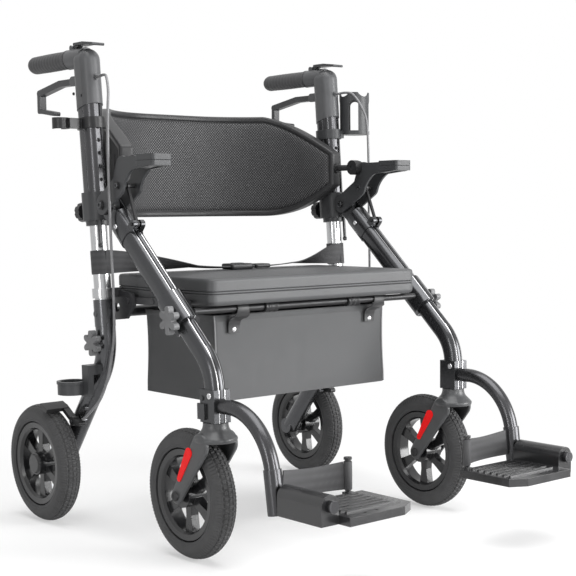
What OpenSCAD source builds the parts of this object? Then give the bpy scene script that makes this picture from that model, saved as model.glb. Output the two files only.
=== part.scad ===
// Rollator transport chair: folding walking frame with seat, foot rests and push handles.
// Millimetres, +Z up, the chair faces -Y, +X is the sitter's left. Origin: floor, middle of the box.

/* [Frame] */
// Half the distance between the two side frames
side_x = 289; // [284:1:296]
// Height of the folding pivot
fold_z = 614; // [608:1:620]
// Outside diameter of the upright tubes
tube_d = 32; // [30:0.5:32.5]
// Width of the lower front leg section
leg_x = 30; // [28:0.5:31]
// Depth of the lower front leg section
leg_y = 38; // [36:0.5:39]
// Wall of the outer sections
wall = 2.7; // [2.2:0.1:3]

/* [Wheels] */
// Tyre diameter, all four wheels
wheel_d = 230; // [222:1:232]
// Tyre width
tyre_w = 44; // [38:1:46]
// Hub to swivel axis of the front wheels
trail = 75; // [68:1:78]
// Spokes in a wheel
spokes = 6; // [5:1:7]

/* [Seat] */
// Seat depth
seat_l = 305; // [290:1:310]
// Seat pad thickness
seat_t = 46; // [40:1:50]
// Backrest height in the middle
back_h = 211; // [195:1:215]
// Backrest thickness
back_t = 26; // [20:1:28]
// Bag depth below its rim
bag_h = 156; // [130:1:160]

/* [Handles] */
// Grip diameter
grip_d = 33; // [30:0.5:35]
// Grip length
grip_l = 145; // [130:1:150]
// Cup holder bore
cup_d = 59; // [54:1:60]
// Cane clip and cup bore
cane_d = 23; // [20:0.5:24]

/* [Foot rests] */
// Foot plate width
plate_w = 146; // [135:1:150]
// Foot plate depth
plate_l = 135; // [125:1:140]
// Height of the foot plate hinge
hinge_z = 152; // [148:1:160]

/* [Fits] */
// Gap between sliding sections
slide_gap = 0.3; // [0.25:0.05:0.4]
// Gap round turning pins
pin_gap = 0.1; // [0.06:0.02:0.14]
// Gap between faces that meet at rest
rest_gap = 0.4; // [0.3:0.1:0.6]

/* [Hidden] */
$fn = 72;
// flat sides of rounded bars lie a little inside their round ends
web = 0.996;
wheel_r = wheel_d / 2;
foot_front = -825;
y_mid = (-foot_front - wheel_r) / 2;
// upright axis: base point and lean towards the rear
base_y = -164;
base_z = 440;
lean = 4.1;
function up_y(z) = base_y + (z - base_z) * tan(lean);
// fold pivot, in the frame and along the upright
fold_y = up_y(fold_z) - 49.5;
p1v = (fold_y - base_y) * cos(lean) - (fold_z - base_z) * sin(lean);
p1w = (fold_y - base_y) * sin(lean) + (fold_z - base_z) * cos(lean);
lug_half = 9.5;
cheek_in = 10;
cheek_out = 14.5;
arm_in = 15;
arm_out = 20;
pin_d = 10;
// sections
prof_x = tube_d + 5;
prof_y = tube_d + 20;
sleeve_d = tube_d + 2 * slide_gap + 4.4;

up_low = -54;
clamp_low = 146;
clamp_high = 198;
tube_low = clamp_low + rest_gap;
grip_z = 884;
grip_w = (grip_z - base_z) / cos(lean);
tube_high = grip_w - 83.1;
up_top = tube_high - 62;
// front leg: axis through the fold pivot, knee above the swivel
cast_y = -511;
house_low = wheel_d + 20;
knee_z = house_low + 88.8;
knee_end = house_low + 50;
fa = atan2(fold_y - cast_y, fold_z - knee_z);
leg_len = norm([fold_y - cast_y, fold_z - knee_z]);
knee_t = knee_z - knee_end;
knee_r = knee_t / tan(fa / 2);
leg_bore_x = leg_x + 2 * slide_gap;
leg_bore_y = leg_y + 2 * slide_gap;
leg_out_x = leg_bore_x + 2 * wall;
leg_out_y = leg_bore_y + 2 * wall;
collar_x = leg_out_x + 8;
collar_y = leg_out_y + 8;
collar_s = [246, 312];
star_s = 296;
function leg_p(s, h) = [fold_y - s * sin(fa) - h * cos(fa), fold_z - s * cos(fa) + h * sin(fa)];
// brace between arm and front leg
p2 = [fold_y - 57, fold_z + 34];
p3 = leg_p(87, leg_out_y / 2 + 9.5);
// rear leg
rear_x = side_x + 45;
ra = 38.7;
rear_turn = ra + lean;
rear_r = 120;
axle = [0, wheel_r];
rear_t = rear_r * tan(rear_turn / 2);
rear_knee_z = (base_y - base_z * tan(lean) - axle[0] - axle[1] * tan(ra)) / (-tan(ra) - tan(lean));
rear_knee_y = up_y(rear_knee_z);
rear_len = norm([axle[0] - rear_knee_y, axle[1] - rear_knee_z]) - rear_t;
rear_bend_w = (rear_knee_z - base_z) / cos(lean) + rear_t;
rear_star = [up_y(361), 361];
brake_p = [-88, wheel_d - 25];
// caster housing
house_x = 34;
house_y = 40;
house_high = house_low + 56;
stem_d = 16;
stem_top = house_low + 46;
hub_f = [cast_y + trail, wheel_r];
// foot rest
hang_z = house_low + 29;
hang_r = 112;
hang_a = 82;
hang_d = 26;
spigot_d = 18;
hinge_x = side_x - 5;
hang_y0 = cast_y - house_y / 2;
hang_y1 = hang_y0 - 22;
hang_y2 = hang_y1 - hang_r * sin(hang_a);
hang_z2 = hang_z - hang_r * (1 - cos(hang_a));
plate_rear = foot_front + plate_l;
plate_z = [hinge_z - 31, hinge_z - 17];
plate_in = hinge_x - 18 - plate_w;
post_p = [plate_in + 25, plate_rear + 7];
// seat
rod_d = 12;
rod_p = leg_p(287.5, 9.1);
seat_w = 2 * side_x - 84;
seat_low = rod_p[1] + rod_d / 2 + 2;
seat_front = rod_p[0] - 25;
crown = 6;
cross_p = [-128, 412];
// backrest
back_y = 33;
back_flat = side_x - 239;
back_r = 190;
back_end = 78;
back_len = 90;
back_z = 689;
hub_p = [fold_y - 53, back_z];
tip_x = back_flat + back_r * sin(back_end) + back_len * cos(back_end);
tip_y = back_y - back_r * (1 - cos(back_end)) - back_len * sin(back_end);
back_s = back_flat + back_r * back_end * PI / 180 + back_len;
// handle
grip_end = 70;
lever_z = grip_z - 42;
lever_p = [up_y(lever_z) + 38, lever_z];
park_p = [-92, grip_z + grip_d / 2 + 2.5];
reach = side_x + 80.5;
cane_ring = 28.5;
cane_z = grip_z - 131;
cane_p = [reach - cane_ring, up_y(cane_z + 22) + 18];
cup_z = grip_z - 122;
cup_p = [reach - cup_d / 2 - 2.5, up_y(cup_z + 38) - 32];
metal = [0.22, 0.23, 0.24];
alu = [0.55, 0.56, 0.58];
dark = [0.13, 0.13, 0.14];
black = [0.07, 0.07, 0.07];
cloth = [0.36, 0.36, 0.37];

// placing
module org() translate([0, y_mid, 0]) children();
module left() org() children();
module right() org() mirror([1, 0, 0]) children();
module upright() translate([side_x, base_y, base_z]) rotate([-lean, 0, 0]) children();
module leg() translate([side_x, fold_y, fold_z]) rotate([-fa, 0, 0]) children();
// plane of a side view: drawing x is frame y, drawing y is frame z, thickness from x0 to x1
module slab(x0, x1) translate([x0, 0, 0]) rotate([90, 0, 90]) linear_extrude(x1 - x0) children();
module xcyl(d, x0, x1, p) translate([x0, p[0], p[1]]) rotate([0, 90, 0]) cylinder(d = d, h = x1 - x0);
module ycyl(d, y0, y1, x, z) translate([x, y1, z]) rotate([90, 0, 0]) cylinder(d = d, h = y1 - y0);
module box(x0, x1, y0, y1, z0, z1) translate([x0, y0, z0]) cube([x1 - x0, y1 - y0, z1 - z0]);

// flat shapes
module stadium(w, l) {
  square([w, l - w], center = true);
  translate([0, (l - w) / 2]) circle(d = w);
  translate([0, (w - l) / 2]) circle(d = w);
}
module capsule(a, b, r) {
  translate(a) circle(r = r);
  translate(b) circle(r = r);
  translate(a) rotate(atan2(b[1] - a[1], b[0] - a[0])) translate([0, -r * web]) square([norm(b - a), 2 * r * web]);
}
module taper(a, ra, b, rb) {
  d = norm(b - a);
  t = acos((ra - rb) / d);
  translate(a) circle(r = ra);
  translate(b) circle(r = rb);
  translate(a) rotate(atan2(b[1] - a[1], b[0] - a[0]))
    polygon([web * ra * [cos(t), sin(t)], [d, 0] + web * rb * [cos(t), sin(t)],
      [d, 0] + web * rb * [cos(t), -sin(t)], web * ra * [cos(t), -sin(t)], [0, 0]]);
}
module plan_rect(w, y0, y1, r) {
  for (x = [-w / 2 + r, w / 2 - r], y = [y0 + r, y1 - r]) translate([x, y]) circle(r = r);
  translate([-w / 2 + r, y0]) square([w - 2 * r, y1 - y0]);
  translate([-w / 2, y0 + r]) square([w, y1 - y0 - 2 * r]);
}
// bend: starts at the origin heading -Z, turns towards +Y by a degrees on radius r
module bend(r, a) {
  multmatrix([[0, 0, 1, 0], [-1, 0, 0, r], [0, -1, 0, 0], [0, 0, 0, 1]])
    rotate_extrude(angle = a) translate([r, 0]) children();
}
module after_bend(r, a) translate([0, r - r * cos(a), -r * sin(a)]) rotate([a, 0, 0]) children();
module star(d, h) {
  linear_extrude(h) {
    circle(d = d * 0.52);
    for (i = [0 : 5]) rotate(i * 60) capsule([0, 0], [d * 0.38, 0], d * 0.115);
  }
}
module lobed(d, h) {
  linear_extrude(h) difference() {
    circle(d = d);
    for (i = [0 : 7]) rotate(i * 45) translate([d * 0.56, 0]) circle(d = d * 0.2);
  }
}

// swept round wire through points
function unit(v) = v / norm(v);
function curve(p, i, t) = let (a = p[max(i - 1, 0)], b = p[i], c = p[i + 1], d = p[min(i + 2, len(p) - 1)])
  0.5 * (2 * b + (c - a) * t + (2 * a - 5 * b + 4 * c - d) * t * t + (3 * b - a - 3 * c + d) * t * t * t);
function smooth(p, n) = [for (i = [0 : len(p) - 2], k = [0 : n - 1]) curve(p, i, k / n), p[len(p) - 1]];
module wire(p, r, n) {
  m = len(p);
  pts = [for (i = [0 : m - 1]) let (t = unit(p[min(i + 1, m - 1)] - p[max(i - 1, 0)]),
    a = unit(cross(t, [1, 0, 0])), b = cross(t, a)) for (k = [0 : n - 1])
    p[i] + r * (cos(k * 360 / n) * a + sin(k * 360 / n) * b)];
  lofted(pts, m, n);
}
// closed skin over m rings of n points
module lofted(pts, m, n) {
  sides = [for (i = [0 : m - 2], k = [0 : n - 1]) let (a = i * n + k, b = i * n + (k + 1) % n)
    each [[a, b, b + n], [a, b + n, a + n]]];
  polyhedron(points = pts, faces = concat([[for (k = [n - 1 : -1 : 0]) k]], sides,
    [[for (k = [0 : n - 1]) (m - 1) * n + k]]), convexity = 6);
}

// wheel turned about X, centred at the origin
module turned() rotate([0, 90, 0]) rotate_extrude() children();
module tyre() {
  turned() difference() {
    translate([wheel_r - tyre_w / 2, 0]) circle(d = tyre_w);
    translate([0, -tyre_w]) square([wheel_r - 32, 2 * tyre_w]);
    for (y = [-0.27, -0.09, 0.09, 0.27])
      translate([wheel_r - tyre_w / 2 + sqrt(0.25 - y * y) * tyre_w - 2, y * tyre_w - 1]) square([4, 2]);
  }
}
module rim(bore, cap) {
  r = wheel_r - 32;
  difference() {
    union() {
      turned() polygon([[r - 17, -12], [r - 13, -17], [r - 3, -18], [r, -15.5], [r, 15.5], [r - 3, 18],
        [r - 13, 17], [r - 17, 12]]);
      translate([-21, 0, 0]) rotate([0, 90, 0]) cylinder(d = 44, h = 42);
      for (i = [0 : spokes - 1]) rotate([i * 360 / spokes, 0, 0]) translate([-8, 0, 0]) rotate([90, 0, 90])
        linear_extrude(16) polygon([[-9, 12], [-7, r * 0.45], [-11, r - 14], [11, r - 14], [7, r * 0.45], [9, 12]]);
      if (cap) translate([20, 0, 0]) rotate([0, 90, 0]) cylinder(d1 = 40, d2 = 34, h = 5);
    }
    translate([-40, 0, 0]) rotate([0, 90, 0]) cylinder(d = bore, h = cap ? 60 : 80);
  }
}

// rear frame: two upright tubes, seat brackets, side rails and rear cross tube
module rear_frame_half() {
  upright() difference() {
    translate([0, 0, up_low]) cylinder(d = tube_d, h = up_top - up_low);
    translate([0, 0, up_low - 1]) cylinder(d = tube_d - 5, h = up_top - up_low + 2);
  }
  upright() difference() {
    union() {
      translate([0, 0, 3]) cylinder(d = tube_d + 8, h = 18);
      translate([-side_x + seat_w / 2 + 8, -9, 3]) cube([28, 20, 18]);
    }
    translate([0, 0, 2]) cylinder(d = tube_d - 1, h = 22);
  }
  slab(seat_w / 2 + 8, seat_w / 2 + 14) difference() {
    polygon([[-152, 460], [-216, 452], [-222, 430], [-196, 404], [-118, 396], [-112, 424], [-140, 452]]);
    translate([-165, 424]) circle(r = 9);
  }
  slab(seat_w / 2 + 3, seat_w / 2 + 8) capsule([-203, 438], [-385, 441], 6.5);
  xcyl(13, seat_w / 2 + 1, seat_w / 2 + 18, [-203, 438]);
  xcyl(9, seat_w / 2 + 1.5, seat_w / 2 + 10, [-277, 439]);
  xcyl(20, -1, seat_w / 2 + 14, cross_p);
}
module rear_frame() color(alu) org() {
  rear_frame_half();
  mirror([1, 0, 0]) rear_frame_half();
}

module clamp_bracket() {
  upright() {
    difference() {
      union() {
        translate([0, 0, clamp_low]) linear_extrude(clamp_high - clamp_low) stadium(prof_x + 9, prof_y + 9);
        translate([0, 0, clamp_low - 9]) cylinder(d = tube_d + 12, h = 10);
        translate([0, 0, 165]) rotate([-90, 0, 0]) cylinder(d = 20, h = prof_y / 2 + 10);
        translate([9, -24, 98]) cube([4, 5, clamp_low - 96]);
        translate([9, -21.5, 100]) rotate([0, 90, 0]) cylinder(d = 9, h = 4);
        translate([-lug_half, p1v, p1w - 14]) cube([2 * lug_half, -p1v - prof_y / 2, 28]);
        translate([-lug_half, p1v, p1w]) rotate([0, 90, 0]) cylinder(d = 30, h = 2 * lug_half);
      }
      translate([0, 0, clamp_low]) linear_extrude(clamp_high) stadium(prof_x + 2 * slide_gap, prof_y + 2 * slide_gap);
      translate([0, 0, 60]) cylinder(d = tube_d, h = 120);
      translate([0, 0, 165]) rotate([-90, 0, 0]) cylinder(d = 8 + 2 * pin_gap, h = 60);
      translate([8, -21.5, 100]) rotate([0, 90, 0]) cylinder(d = 4, h = 6);
      translate([-lug_half - 1, p1v, p1w]) rotate([0, 90, 0]) cylinder(d = pin_d + 2 * pin_gap, h = 2 * lug_half + 2);
    }
  }
}
module clamp_bracket_l() color(dark) left() clamp_bracket();
module clamp_bracket_r() color(dark) right() clamp_bracket();

module clamp_knob() {
  upright() translate([0, 0, 165]) rotate([-90, 0, 0]) {
    translate([0, 0, prof_y / 2 + 1]) cylinder(d = 8, h = 12);
    translate([0, 0, prof_y / 2 + 10 + rest_gap]) lobed(37, 15);
  }
}
module clamp_knob_l() color(black) left() clamp_knob();
module clamp_knob_r() color(black) right() clamp_knob();

// storage bag: open at the top, hung by straps from the front rod and the rear cross tube
module bag() color(cloth) org() {
  bw = seat_w - 78;
  by = [rod_p[0] + 24, -172];
  bz = rod_p[1] - 12;
  difference() {
    translate([0, 0, bz - bag_h]) linear_extrude(bag_h) plan_rect(bw, by[0], by[1], 5);
    translate([0, 0, bz - bag_h + 2]) linear_extrude(bag_h) plan_rect(bw - 4, by[0] + 2, by[1] - 2, 3);
  }
  for (x = [-165, 165]) {
    slab(x - 13, x + 13) difference() {
      union() {
        translate(rod_p) circle(d = rod_d + 3);
        translate([rod_p[0] + 4.6, bz - 26]) square([2, 38]);
        translate([rod_p[0] + 4.6, bz - 30]) square([by[0] - rod_p[0] - 4, 8]);
      }
      translate(rod_p) circle(d = rod_d + 0.6);
    }
    slab(x - 13, x + 13) difference() {
      union() {
        capsule(cross_p, [by[1] - 1, bz - 8], 2);
        translate(cross_p) circle(d = 23);
      }
      translate(cross_p) circle(d = 20);
      translate([by[1] - 22, bz - 20]) square([20, 24]);
    }
  }
}

// lap belt: loop on each upright, bands lying over the seat
// the band is one strip: round the upright, then inwards and down to the seat, turning flat
belt_r = tube_d / 2 + 1.3;
belt_w = 69;
belt_y = base_y + belt_w * sin(lean) - belt_r * cos(lean);
belt_z = base_z + belt_w * cos(lean) + belt_r * sin(lean);
belt_in = 44;
belt_end = -224;
function belt_pt(t) = let (e = t * t * (3 - 2 * t)) [side_x - t * (side_x - belt_in),
  belt_y + (belt_end - belt_y) * e - 14 * pow(sin(180 * t), 2), belt_z - (belt_z - seat_low - seat_t - crown - 3) * e];
function belt_strip(c, a, b, w) = [c + w * a + b, c - w * a + b, c - w * a - b, c + w * a - b];
module belt_half() {
  m = 28;
  n = 14;
  turn = [for (i = [0 : m]) let (f = 220 - 310 * i / m, v = belt_r * sin(f))
    each belt_strip([side_x + belt_r * cos(f), base_y + v * cos(lean) + belt_w * sin(lean),
      base_z - v * sin(lean) + belt_w * cos(lean)], [0, sin(lean), cos(lean)],
      [-cos(f), -sin(f) * cos(lean), sin(f) * sin(lean)], 22)];
  run = [for (i = [1 : n]) let (t = i / n, tw = 84 * min(1, t * 1.5))
    each belt_strip(belt_pt(t), [0, -sin(tw), cos(tw)], [0, cos(tw), sin(tw)], 22 - 8 * t)];
  lofted(concat(turn, run), m + n + 1, 4);
}
module belts() color(black) org() {
  belt_half();
  mirror([1, 0, 0]) belt_half();
}
module buckle() color(dark) org() {
  z = seat_low + 1.09 * seat_t + 0.3;
  y = belt_pt(1)[1];
  difference() {
    translate([0, 0, z]) linear_extrude(11) plan_rect(82, y - 19, y + 19, 6);
    box(-2, 2, y - 30, y + 30, z + 6, z + 20);
    box(28, 50, y - 12.5, y + 12.5, z + 1, z + 8);
    box(-50, -28, y - 12.5, y + 12.5, z + 1, z + 8);
  }
}

// brake cable: lever housing to rear brake, on the outer side of the frame
function cable_path() = smooth([[side_x, -158, lever_z + 4], [side_x, -168, lever_z + 4], [side_x, -176, lever_z + 4],
  [side_x + 3, -194, lever_z + 5], [side_x + 8, -212, lever_z], [side_x + 16, -230, lever_z - 27],
  [side_x + 23, -238, 780], [side_x + 26, -239, 700], [side_x + 26, -239, 610],
  [side_x + 26, -240, 530], [side_x + 25, -241, 450], [side_x + 25, -239, 390], [side_x + 25, -231, 350],
  [side_x + 25, -212, 300], [side_x + 25, -182, 256], [side_x + 25, -140, 225], [side_x + 25, -116.4, 210.8]], 3);
module cable() wire(cable_path(), 2.5, 8);
module cable_l() color(black) left() cable();
module cable_r() color(black) right() cable();

// rear leg: sleeve over the upright, bend, straight run to the axle
module rear_leg() {
  difference() {
    union() {
      upright() {
        translate([0, 0, rear_bend_w]) cylinder(d = sleeve_d, h = -rear_bend_w);
        translate([0, 0, rear_bend_w]) bend(rear_r, rear_turn) circle(d = sleeve_d);
        translate([0, 0, rear_bend_w]) after_bend(rear_r, rear_turn) {
          translate([0, 0, -rear_len]) cylinder(d = sleeve_d, h = rear_len);
          translate([0, 0, -6]) cylinder(d = sleeve_d - 2, h = 12);
        }
        translate([0, 0, -50]) cylinder(d = sleeve_d + 1.6, h = 50);
        translate([sleeve_d / 2 - 3, 0, -26]) rotate([0, 90, 0]) cylinder(d = 11, h = 5);
      }
      xcyl(34, side_x - 17, side_x + 17, axle);
      xcyl(12, side_x, rear_x + 19, axle);
      xcyl(20, side_x, side_x + 19.2, axle);
      xcyl(22, side_x, side_x + 24, rear_star);
      xcyl(8, side_x, side_x + 36, brake_p);
      slab(side_x + 4, side_x + 16) capsule(brake_p, brake_p + [18, -2], 9);
      slab(side_x + 10, side_x + 18) capsule(brake_p + [-22, 27], brake_p + [4, 16], 5);
    }
    upright() translate([0, 0, up_low - 1.5]) cylinder(d = tube_d + 2 * slide_gap, h = 80);
    xcyl(8 + 2 * pin_gap, side_x + 14, side_x + 40, rear_star);
  }
}
module rear_leg_l() color(metal) left() rear_leg();
module rear_leg_r() color(metal) right() rear_leg();

module rear_knob() {
  translate([side_x + 24 + rest_gap, rear_star[0], rear_star[1]]) rotate([0, 90, 0]) star(48, 11);
  xcyl(8, side_x + 15, side_x + 30, rear_star);
}
module rear_knob_l() color(black) left() rear_knob();
module rear_knob_r() color(black) right() rear_knob();

module rear_rim() translate([rear_x, axle[0], axle[1]]) rim(12 + 2 * pin_gap, true);
module rear_rim_l() color(black) left() rear_rim();
module rear_rim_r() color(black) right() rear_rim();
module rear_tyre() translate([rear_x, axle[0], axle[1]]) tyre();
module rear_tyre_l() color(dark) left() rear_tyre();
module rear_tyre_r() color(dark) right() rear_tyre();

// brake arm: shoe over the tyre, hub on the pin of the rear leg
module brake_arm() {
  slab(rear_x - tyre_w / 2 - 2, rear_x + tyre_w / 2 + 2) intersection() {
    difference() {
      translate(axle) circle(r = wheel_r + 13);
      translate(axle) circle(r = wheel_r + 5);
    }
    polygon([axle, axle + 300 * [cos(106), sin(106)], axle + 300 * [cos(118), sin(118)]]);
  }
  difference() {
    union() {
      slab(side_x + 20, side_x + 33) {
        translate(brake_p) circle(r = 9);
        capsule(brake_p, axle + (wheel_r + 9) * [cos(113), sin(113)], 4);
        capsule(brake_p, brake_p + [-24, -2], 5);
      }
    }
    xcyl(8 + 2 * pin_gap, side_x, side_x + 60, brake_p);
  }
}
module brake_arm_l() color(black) left() brake_arm();
module brake_arm_r() color(black) right() brake_arm();

// cup for a cane's foot, on the right rear leg
module cane_cup() color(dark) right() {
  cy = -129;
  difference() {
    union() {
      translate([cane_p[0], cy, 264]) cylinder(d = 54, h = 22);
      translate([cane_p[0], cy, 284]) cylinder(r = cane_ring, h = 5);
      box(side_x + 14, side_x + 44, -174, -152, 302, 320);
      box(side_x + 32, side_x + 44, -174, -152, 268, 320);
      box(side_x + 32, side_x + 44, -174, -118, 262, 276);
    }
    translate([cane_p[0], cy, 268]) cylinder(d = cane_d + 20, h = 60);
    rear_leg();
  }
}

// handle: sliding section, elbow housing, grip
module handle_tube() {
  upright() difference() {
    translate([0, 0, tube_low]) linear_extrude(tube_high - tube_low) difference() {
      stadium(prof_x, prof_y);
      circle(d = tube_d + 2 * slide_gap);
      translate([-6, -prof_y / 2 - 1]) square([12, 5]);
      for (x = [-1, 1]) translate([x * prof_x / 2, -4]) circle(r = 1.4);
    }
    for (w = [220 : 24 : 320]) translate([0, 0, w]) rotate([90, 0, 0]) cylinder(d = 7, h = prof_y);
  }
}
module handle_tube_l() color(metal) left() handle_tube();
module handle_tube_r() color(metal) right() handle_tube();

grip_y = up_y(grip_z);
cap_d = prof_x + 3;
cap_w = grip_w - 6.5;
module housing() {
  difference() {
    union() {
      upright() {
        translate([0, 0, tube_high - 24]) linear_extrude(cap_w - tube_high + 24) stadium(cap_d, prof_y + 3);
        for (y = [-1, 1]) translate([0, y * (prof_y - prof_x) / 2, cap_w]) sphere(d = cap_d * web);
        translate([0, (prof_y - prof_x) / 2, cap_w]) rotate([90, 0, 0]) cylinder(d = cap_d * web, h = prof_y - prof_x);
      }
      ycyl(grip_d + 3, grip_y, grip_end - grip_l - 3, side_x, grip_z);
      ycyl(20, grip_y, grip_end - 16, side_x, grip_z);
      for (u = [-12, 8.5]) slab(side_x + u, side_x + u + 3.5) capsule([lever_p[0] - 38, lever_z], lever_p, 9);
      for (u = [-9, 5.5]) slab(side_x + u, side_x + u + 3.5) capsule([park_p[0] - 2, grip_z + 4], park_p, 5);
      translate([side_x, up_y(lever_z + 4) - 24, lever_z + 4]) rotate([90, 0, 0]) cylinder(d = 9, h = 9);
    }
    upright() {
      translate([0, 0, tube_high - 60]) linear_extrude(60) stadium(prof_x, prof_y);
      translate([-40, 0, tube_high - 9]) rotate([-12, 0, 0]) translate([0, -60, -40]) cube([80, 120, 40]);
    }
    translate([side_x, up_y(lever_z + 4) - 18, lever_z + 4]) rotate([90, 0, 0]) cylinder(d = 5.6, h = 30);
    slab(side_x - 8.5, side_x + 8.5) translate(lever_p) circle(r = 11);
    for (p = [[-114, grip_z - 66], [-144, grip_z - 71]]) xcyl(6, side_x + 18, side_x + 30, p);
    slab(side_x - 5.5, side_x + 5.5) translate(park_p) circle(r = 14);
  }
  xcyl(6, side_x - 12, side_x + 12, lever_p);
  xcyl(4, side_x - 9, side_x + 9, park_p);
}
module housing_l() color(dark) left() housing();
module housing_r() color(dark) right() housing();

module grip() {
  r = grip_d / 2;
  n = 10;
  p = (grip_l - 30) / n;
  translate([side_x, grip_end - grip_l, grip_z]) rotate([-90, 0, 0]) difference() {
    union() {
      rotate_extrude() polygon(concat([[0, 0], [r + 1.5, 0], [r + 1.5, 6]],
        [for (i = [0 : n - 1]) each [[r, 8 + i * p], [r, 8 + i * p + p - 3], [r - 1, 8 + i * p + p - 1.5]]],
        [[r, 8 + n * p], [r, grip_l - 8], [0, grip_l - 8]]));
      intersection() {
        translate([0, 0, grip_l - 8 - r]) sphere(r = sqrt(r * r + 64) + 2.6);
        translate([0, 0, grip_l - 9]) cylinder(d = grip_d, h = 20);
        cylinder(d = grip_d, h = grip_l);
      }
    }
    translate([0, 0, -1]) cylinder(d = 20, h = grip_l - 15);
  }
}
module grip_l() color(black) left() grip();
module grip_r() color(black) right() grip();

module brake_lever() {
  slab(side_x - 7, side_x + 7) difference() {
    union() {
      translate(lever_p) circle(r = 8);
      capsule(lever_p, lever_p + [57, 0], 6);
      capsule(lever_p + [57, 0], lever_p + [137, -13], 6);
      capsule(lever_p + [137, -13], lever_p + [138, -46], 5);
      capsule(lever_p + [138, -46], lever_p + [83, -54], 4);
    }
    translate(lever_p) circle(d = 6 + 2 * pin_gap);
  }
}
module brake_lever_l() color(dark) left() brake_lever();
module brake_lever_r() color(dark) right() brake_lever();

module park_lever() {
  difference() {
    union() {
      slab(side_x - 5, side_x + 5) capsule(park_p, park_p + [-20, 5], 3.5);
      slab(side_x - 13, side_x + 13) {
        capsule(park_p + [-18, 5], park_p + [-48, 5], 2.5);
        capsule(park_p + [-48, 5], park_p + [-80, 1], 2.5);
      }
    }
    xcyl(4 + 2 * pin_gap, side_x - 20, side_x + 20, park_p);
  }
}
module park_lever_l() color(dark) left() park_lever();
module park_lever_r() color(dark) right() park_lever();

// clip for a cane on the right handle section
module cane_clip() color(black) right() {
  difference() {
    union() {
      upright() translate([0, 0, tube_high - 48]) linear_extrude(20) stadium(prof_x + 7, prof_y + 7);
      translate([cane_p[0], cane_p[1], cane_z]) cylinder(d = cane_d + 8, h = 20);
      box(side_x + 15, cane_p[0] - 6, up_y(cane_z + 10) - 4, up_y(cane_z + 10) + 22, cane_z + 1, cane_z + 19);
    }
    upright() translate([0, 0, 250]) linear_extrude(150) stadium(prof_x, prof_y);
    translate([cane_p[0], cane_p[1], cane_z - 13]) cylinder(d = cane_d, h = 60);
    box(cane_p[0] - 8, cane_p[0] + 8, cane_p[1] + 6, cane_p[1] + 40, cane_z - 13, cane_z + 47);
  }
}

// cup holder on the left handle section
module cup_holder() color(dark) left() {
  z0 = cup_z;
  r = cup_d / 2;
  difference() {
    union() {
      translate([cup_p[0], cup_p[1], z0]) cylinder(r = r + 2.5, h = 88);
      upright() translate([0, 0, tube_high - 50]) linear_extrude(20) stadium(prof_x + 7, prof_y + 7);
      box(side_x + 12, cup_p[0] - r + 1, cup_p[1] + 2, cup_p[1] + 26, z0 - 8, z0 + 8);
    }
    upright() translate([0, 0, 250]) linear_extrude(150) stadium(prof_x, prof_y);
    translate([cup_p[0], cup_p[1], z0 + 3]) cylinder(r = r, h = 100);
    for (a = [45 : 90 : 315]) translate([cup_p[0], cup_p[1], 0]) rotate([0, 0, a + 90]) {
      slab(r - 12, r + 12) {
        translate([-10, z0 + 8]) square([20, 54]);
        translate([0, z0 + 62]) circle(r = 10);
      }
      rotate([0, 0, 45]) slab(r - 12, r + 12) translate([0, z0 + 96]) circle(r = 17);
    }
  }
}

// armrest: two side plates from the fold pivot, swan neck and pad
module arm_shape() {
  e = [fold_y - 71, 682];
  capsule([fold_y, fold_z], p2, 18);
  capsule(p2, e, 18);
  capsule(e, [fold_y - 158, 690], 10);
  difference() {
    polygon([p2 + [-6, 10], e + [0, 16], [fold_y - 160, 699], [fold_y - 160, 682], p2 + [-16, -6]]);
    translate([fold_y - 134, 616]) circle(r = 66);
  }
}
module armrest() {
  difference() {
    union() {
      slab(side_x - arm_out, side_x + arm_out) arm_shape();
      difference() {
        translate([side_x, 0, 681]) linear_extrude(20) plan_rect(42, fold_y - 172, fold_y - 116, 6);
        box(side_x - 40, side_x + 40, fold_y - 260, fold_y - 100, 690, 690.8);
      }
      xcyl(10, side_x - arm_out - 14, side_x - arm_in, hub_p);
      xcyl(28, side_x - arm_out, side_x - arm_in, hub_p);
    }
    slab(side_x - arm_in, side_x + arm_in) {
      capsule([fold_y + 6, fold_z - 12], [fold_y - 64, 668], 40);
      capsule([fold_y - 64, 664], [fold_y - 150, 674], 8);
    }
    xcyl(pin_d, side_x - 40, side_x + 40, [fold_y, fold_z]);
    xcyl(8, side_x - 40, side_x + 40, p2);
  }
}
module armrest_l() color(dark) left() armrest();
module armrest_r() color(dark) right() armrest();

// upper front leg: grooved section, head casting with cheeks on the fold pivot, collar
module front_leg() {
  difference() {
    union() {
      leg() {
        translate([0, 0, -collar_s[1] + 4]) linear_extrude(collar_s[1] - 38) stadium(leg_out_x, leg_out_y);
        translate([0, 0, -collar_s[1]]) linear_extrude(collar_s[1] - collar_s[0]) stadium(collar_x, collar_y);
        translate([0, 0, -92]) linear_extrude(56) stadium(leg_out_x + 2.6, leg_out_y + 4);
        for (u = [-cheek_out, cheek_in]) translate([u, 0, 0]) {
          rotate([0, 90, 0]) cylinder(r = 16.5, h = cheek_out - cheek_in);
          translate([0, -16.5, -44]) cube([cheek_out - cheek_in, 33, 44]);
        }
      }
      for (u = [-12, 4]) slab(side_x + u, side_x + u + 8) capsule(p3, leg_p(87, leg_out_y / 2 - 2), 8);
    }
    leg() {
      translate([0, 0, -400]) linear_extrude(350) stadium(leg_bore_x, leg_bore_y);
      for (x = [-7, 3]) translate([x, -leg_out_y / 2 - 1, -collar_s[0]]) cube([4, 2.6, collar_s[0] - 92]);
      translate([0, 0, -star_s]) rotate([0, 90, 0]) cylinder(d = 8 + 2 * pin_gap, h = 60);
    }
    xcyl(pin_d, side_x - 40, side_x + 40, [fold_y, fold_z]);
    xcyl(6, side_x - 40, side_x + 40, p3);
  }
}
module front_leg_l() color(metal) left() front_leg();
module front_leg_r() color(metal) right() front_leg();

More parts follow.
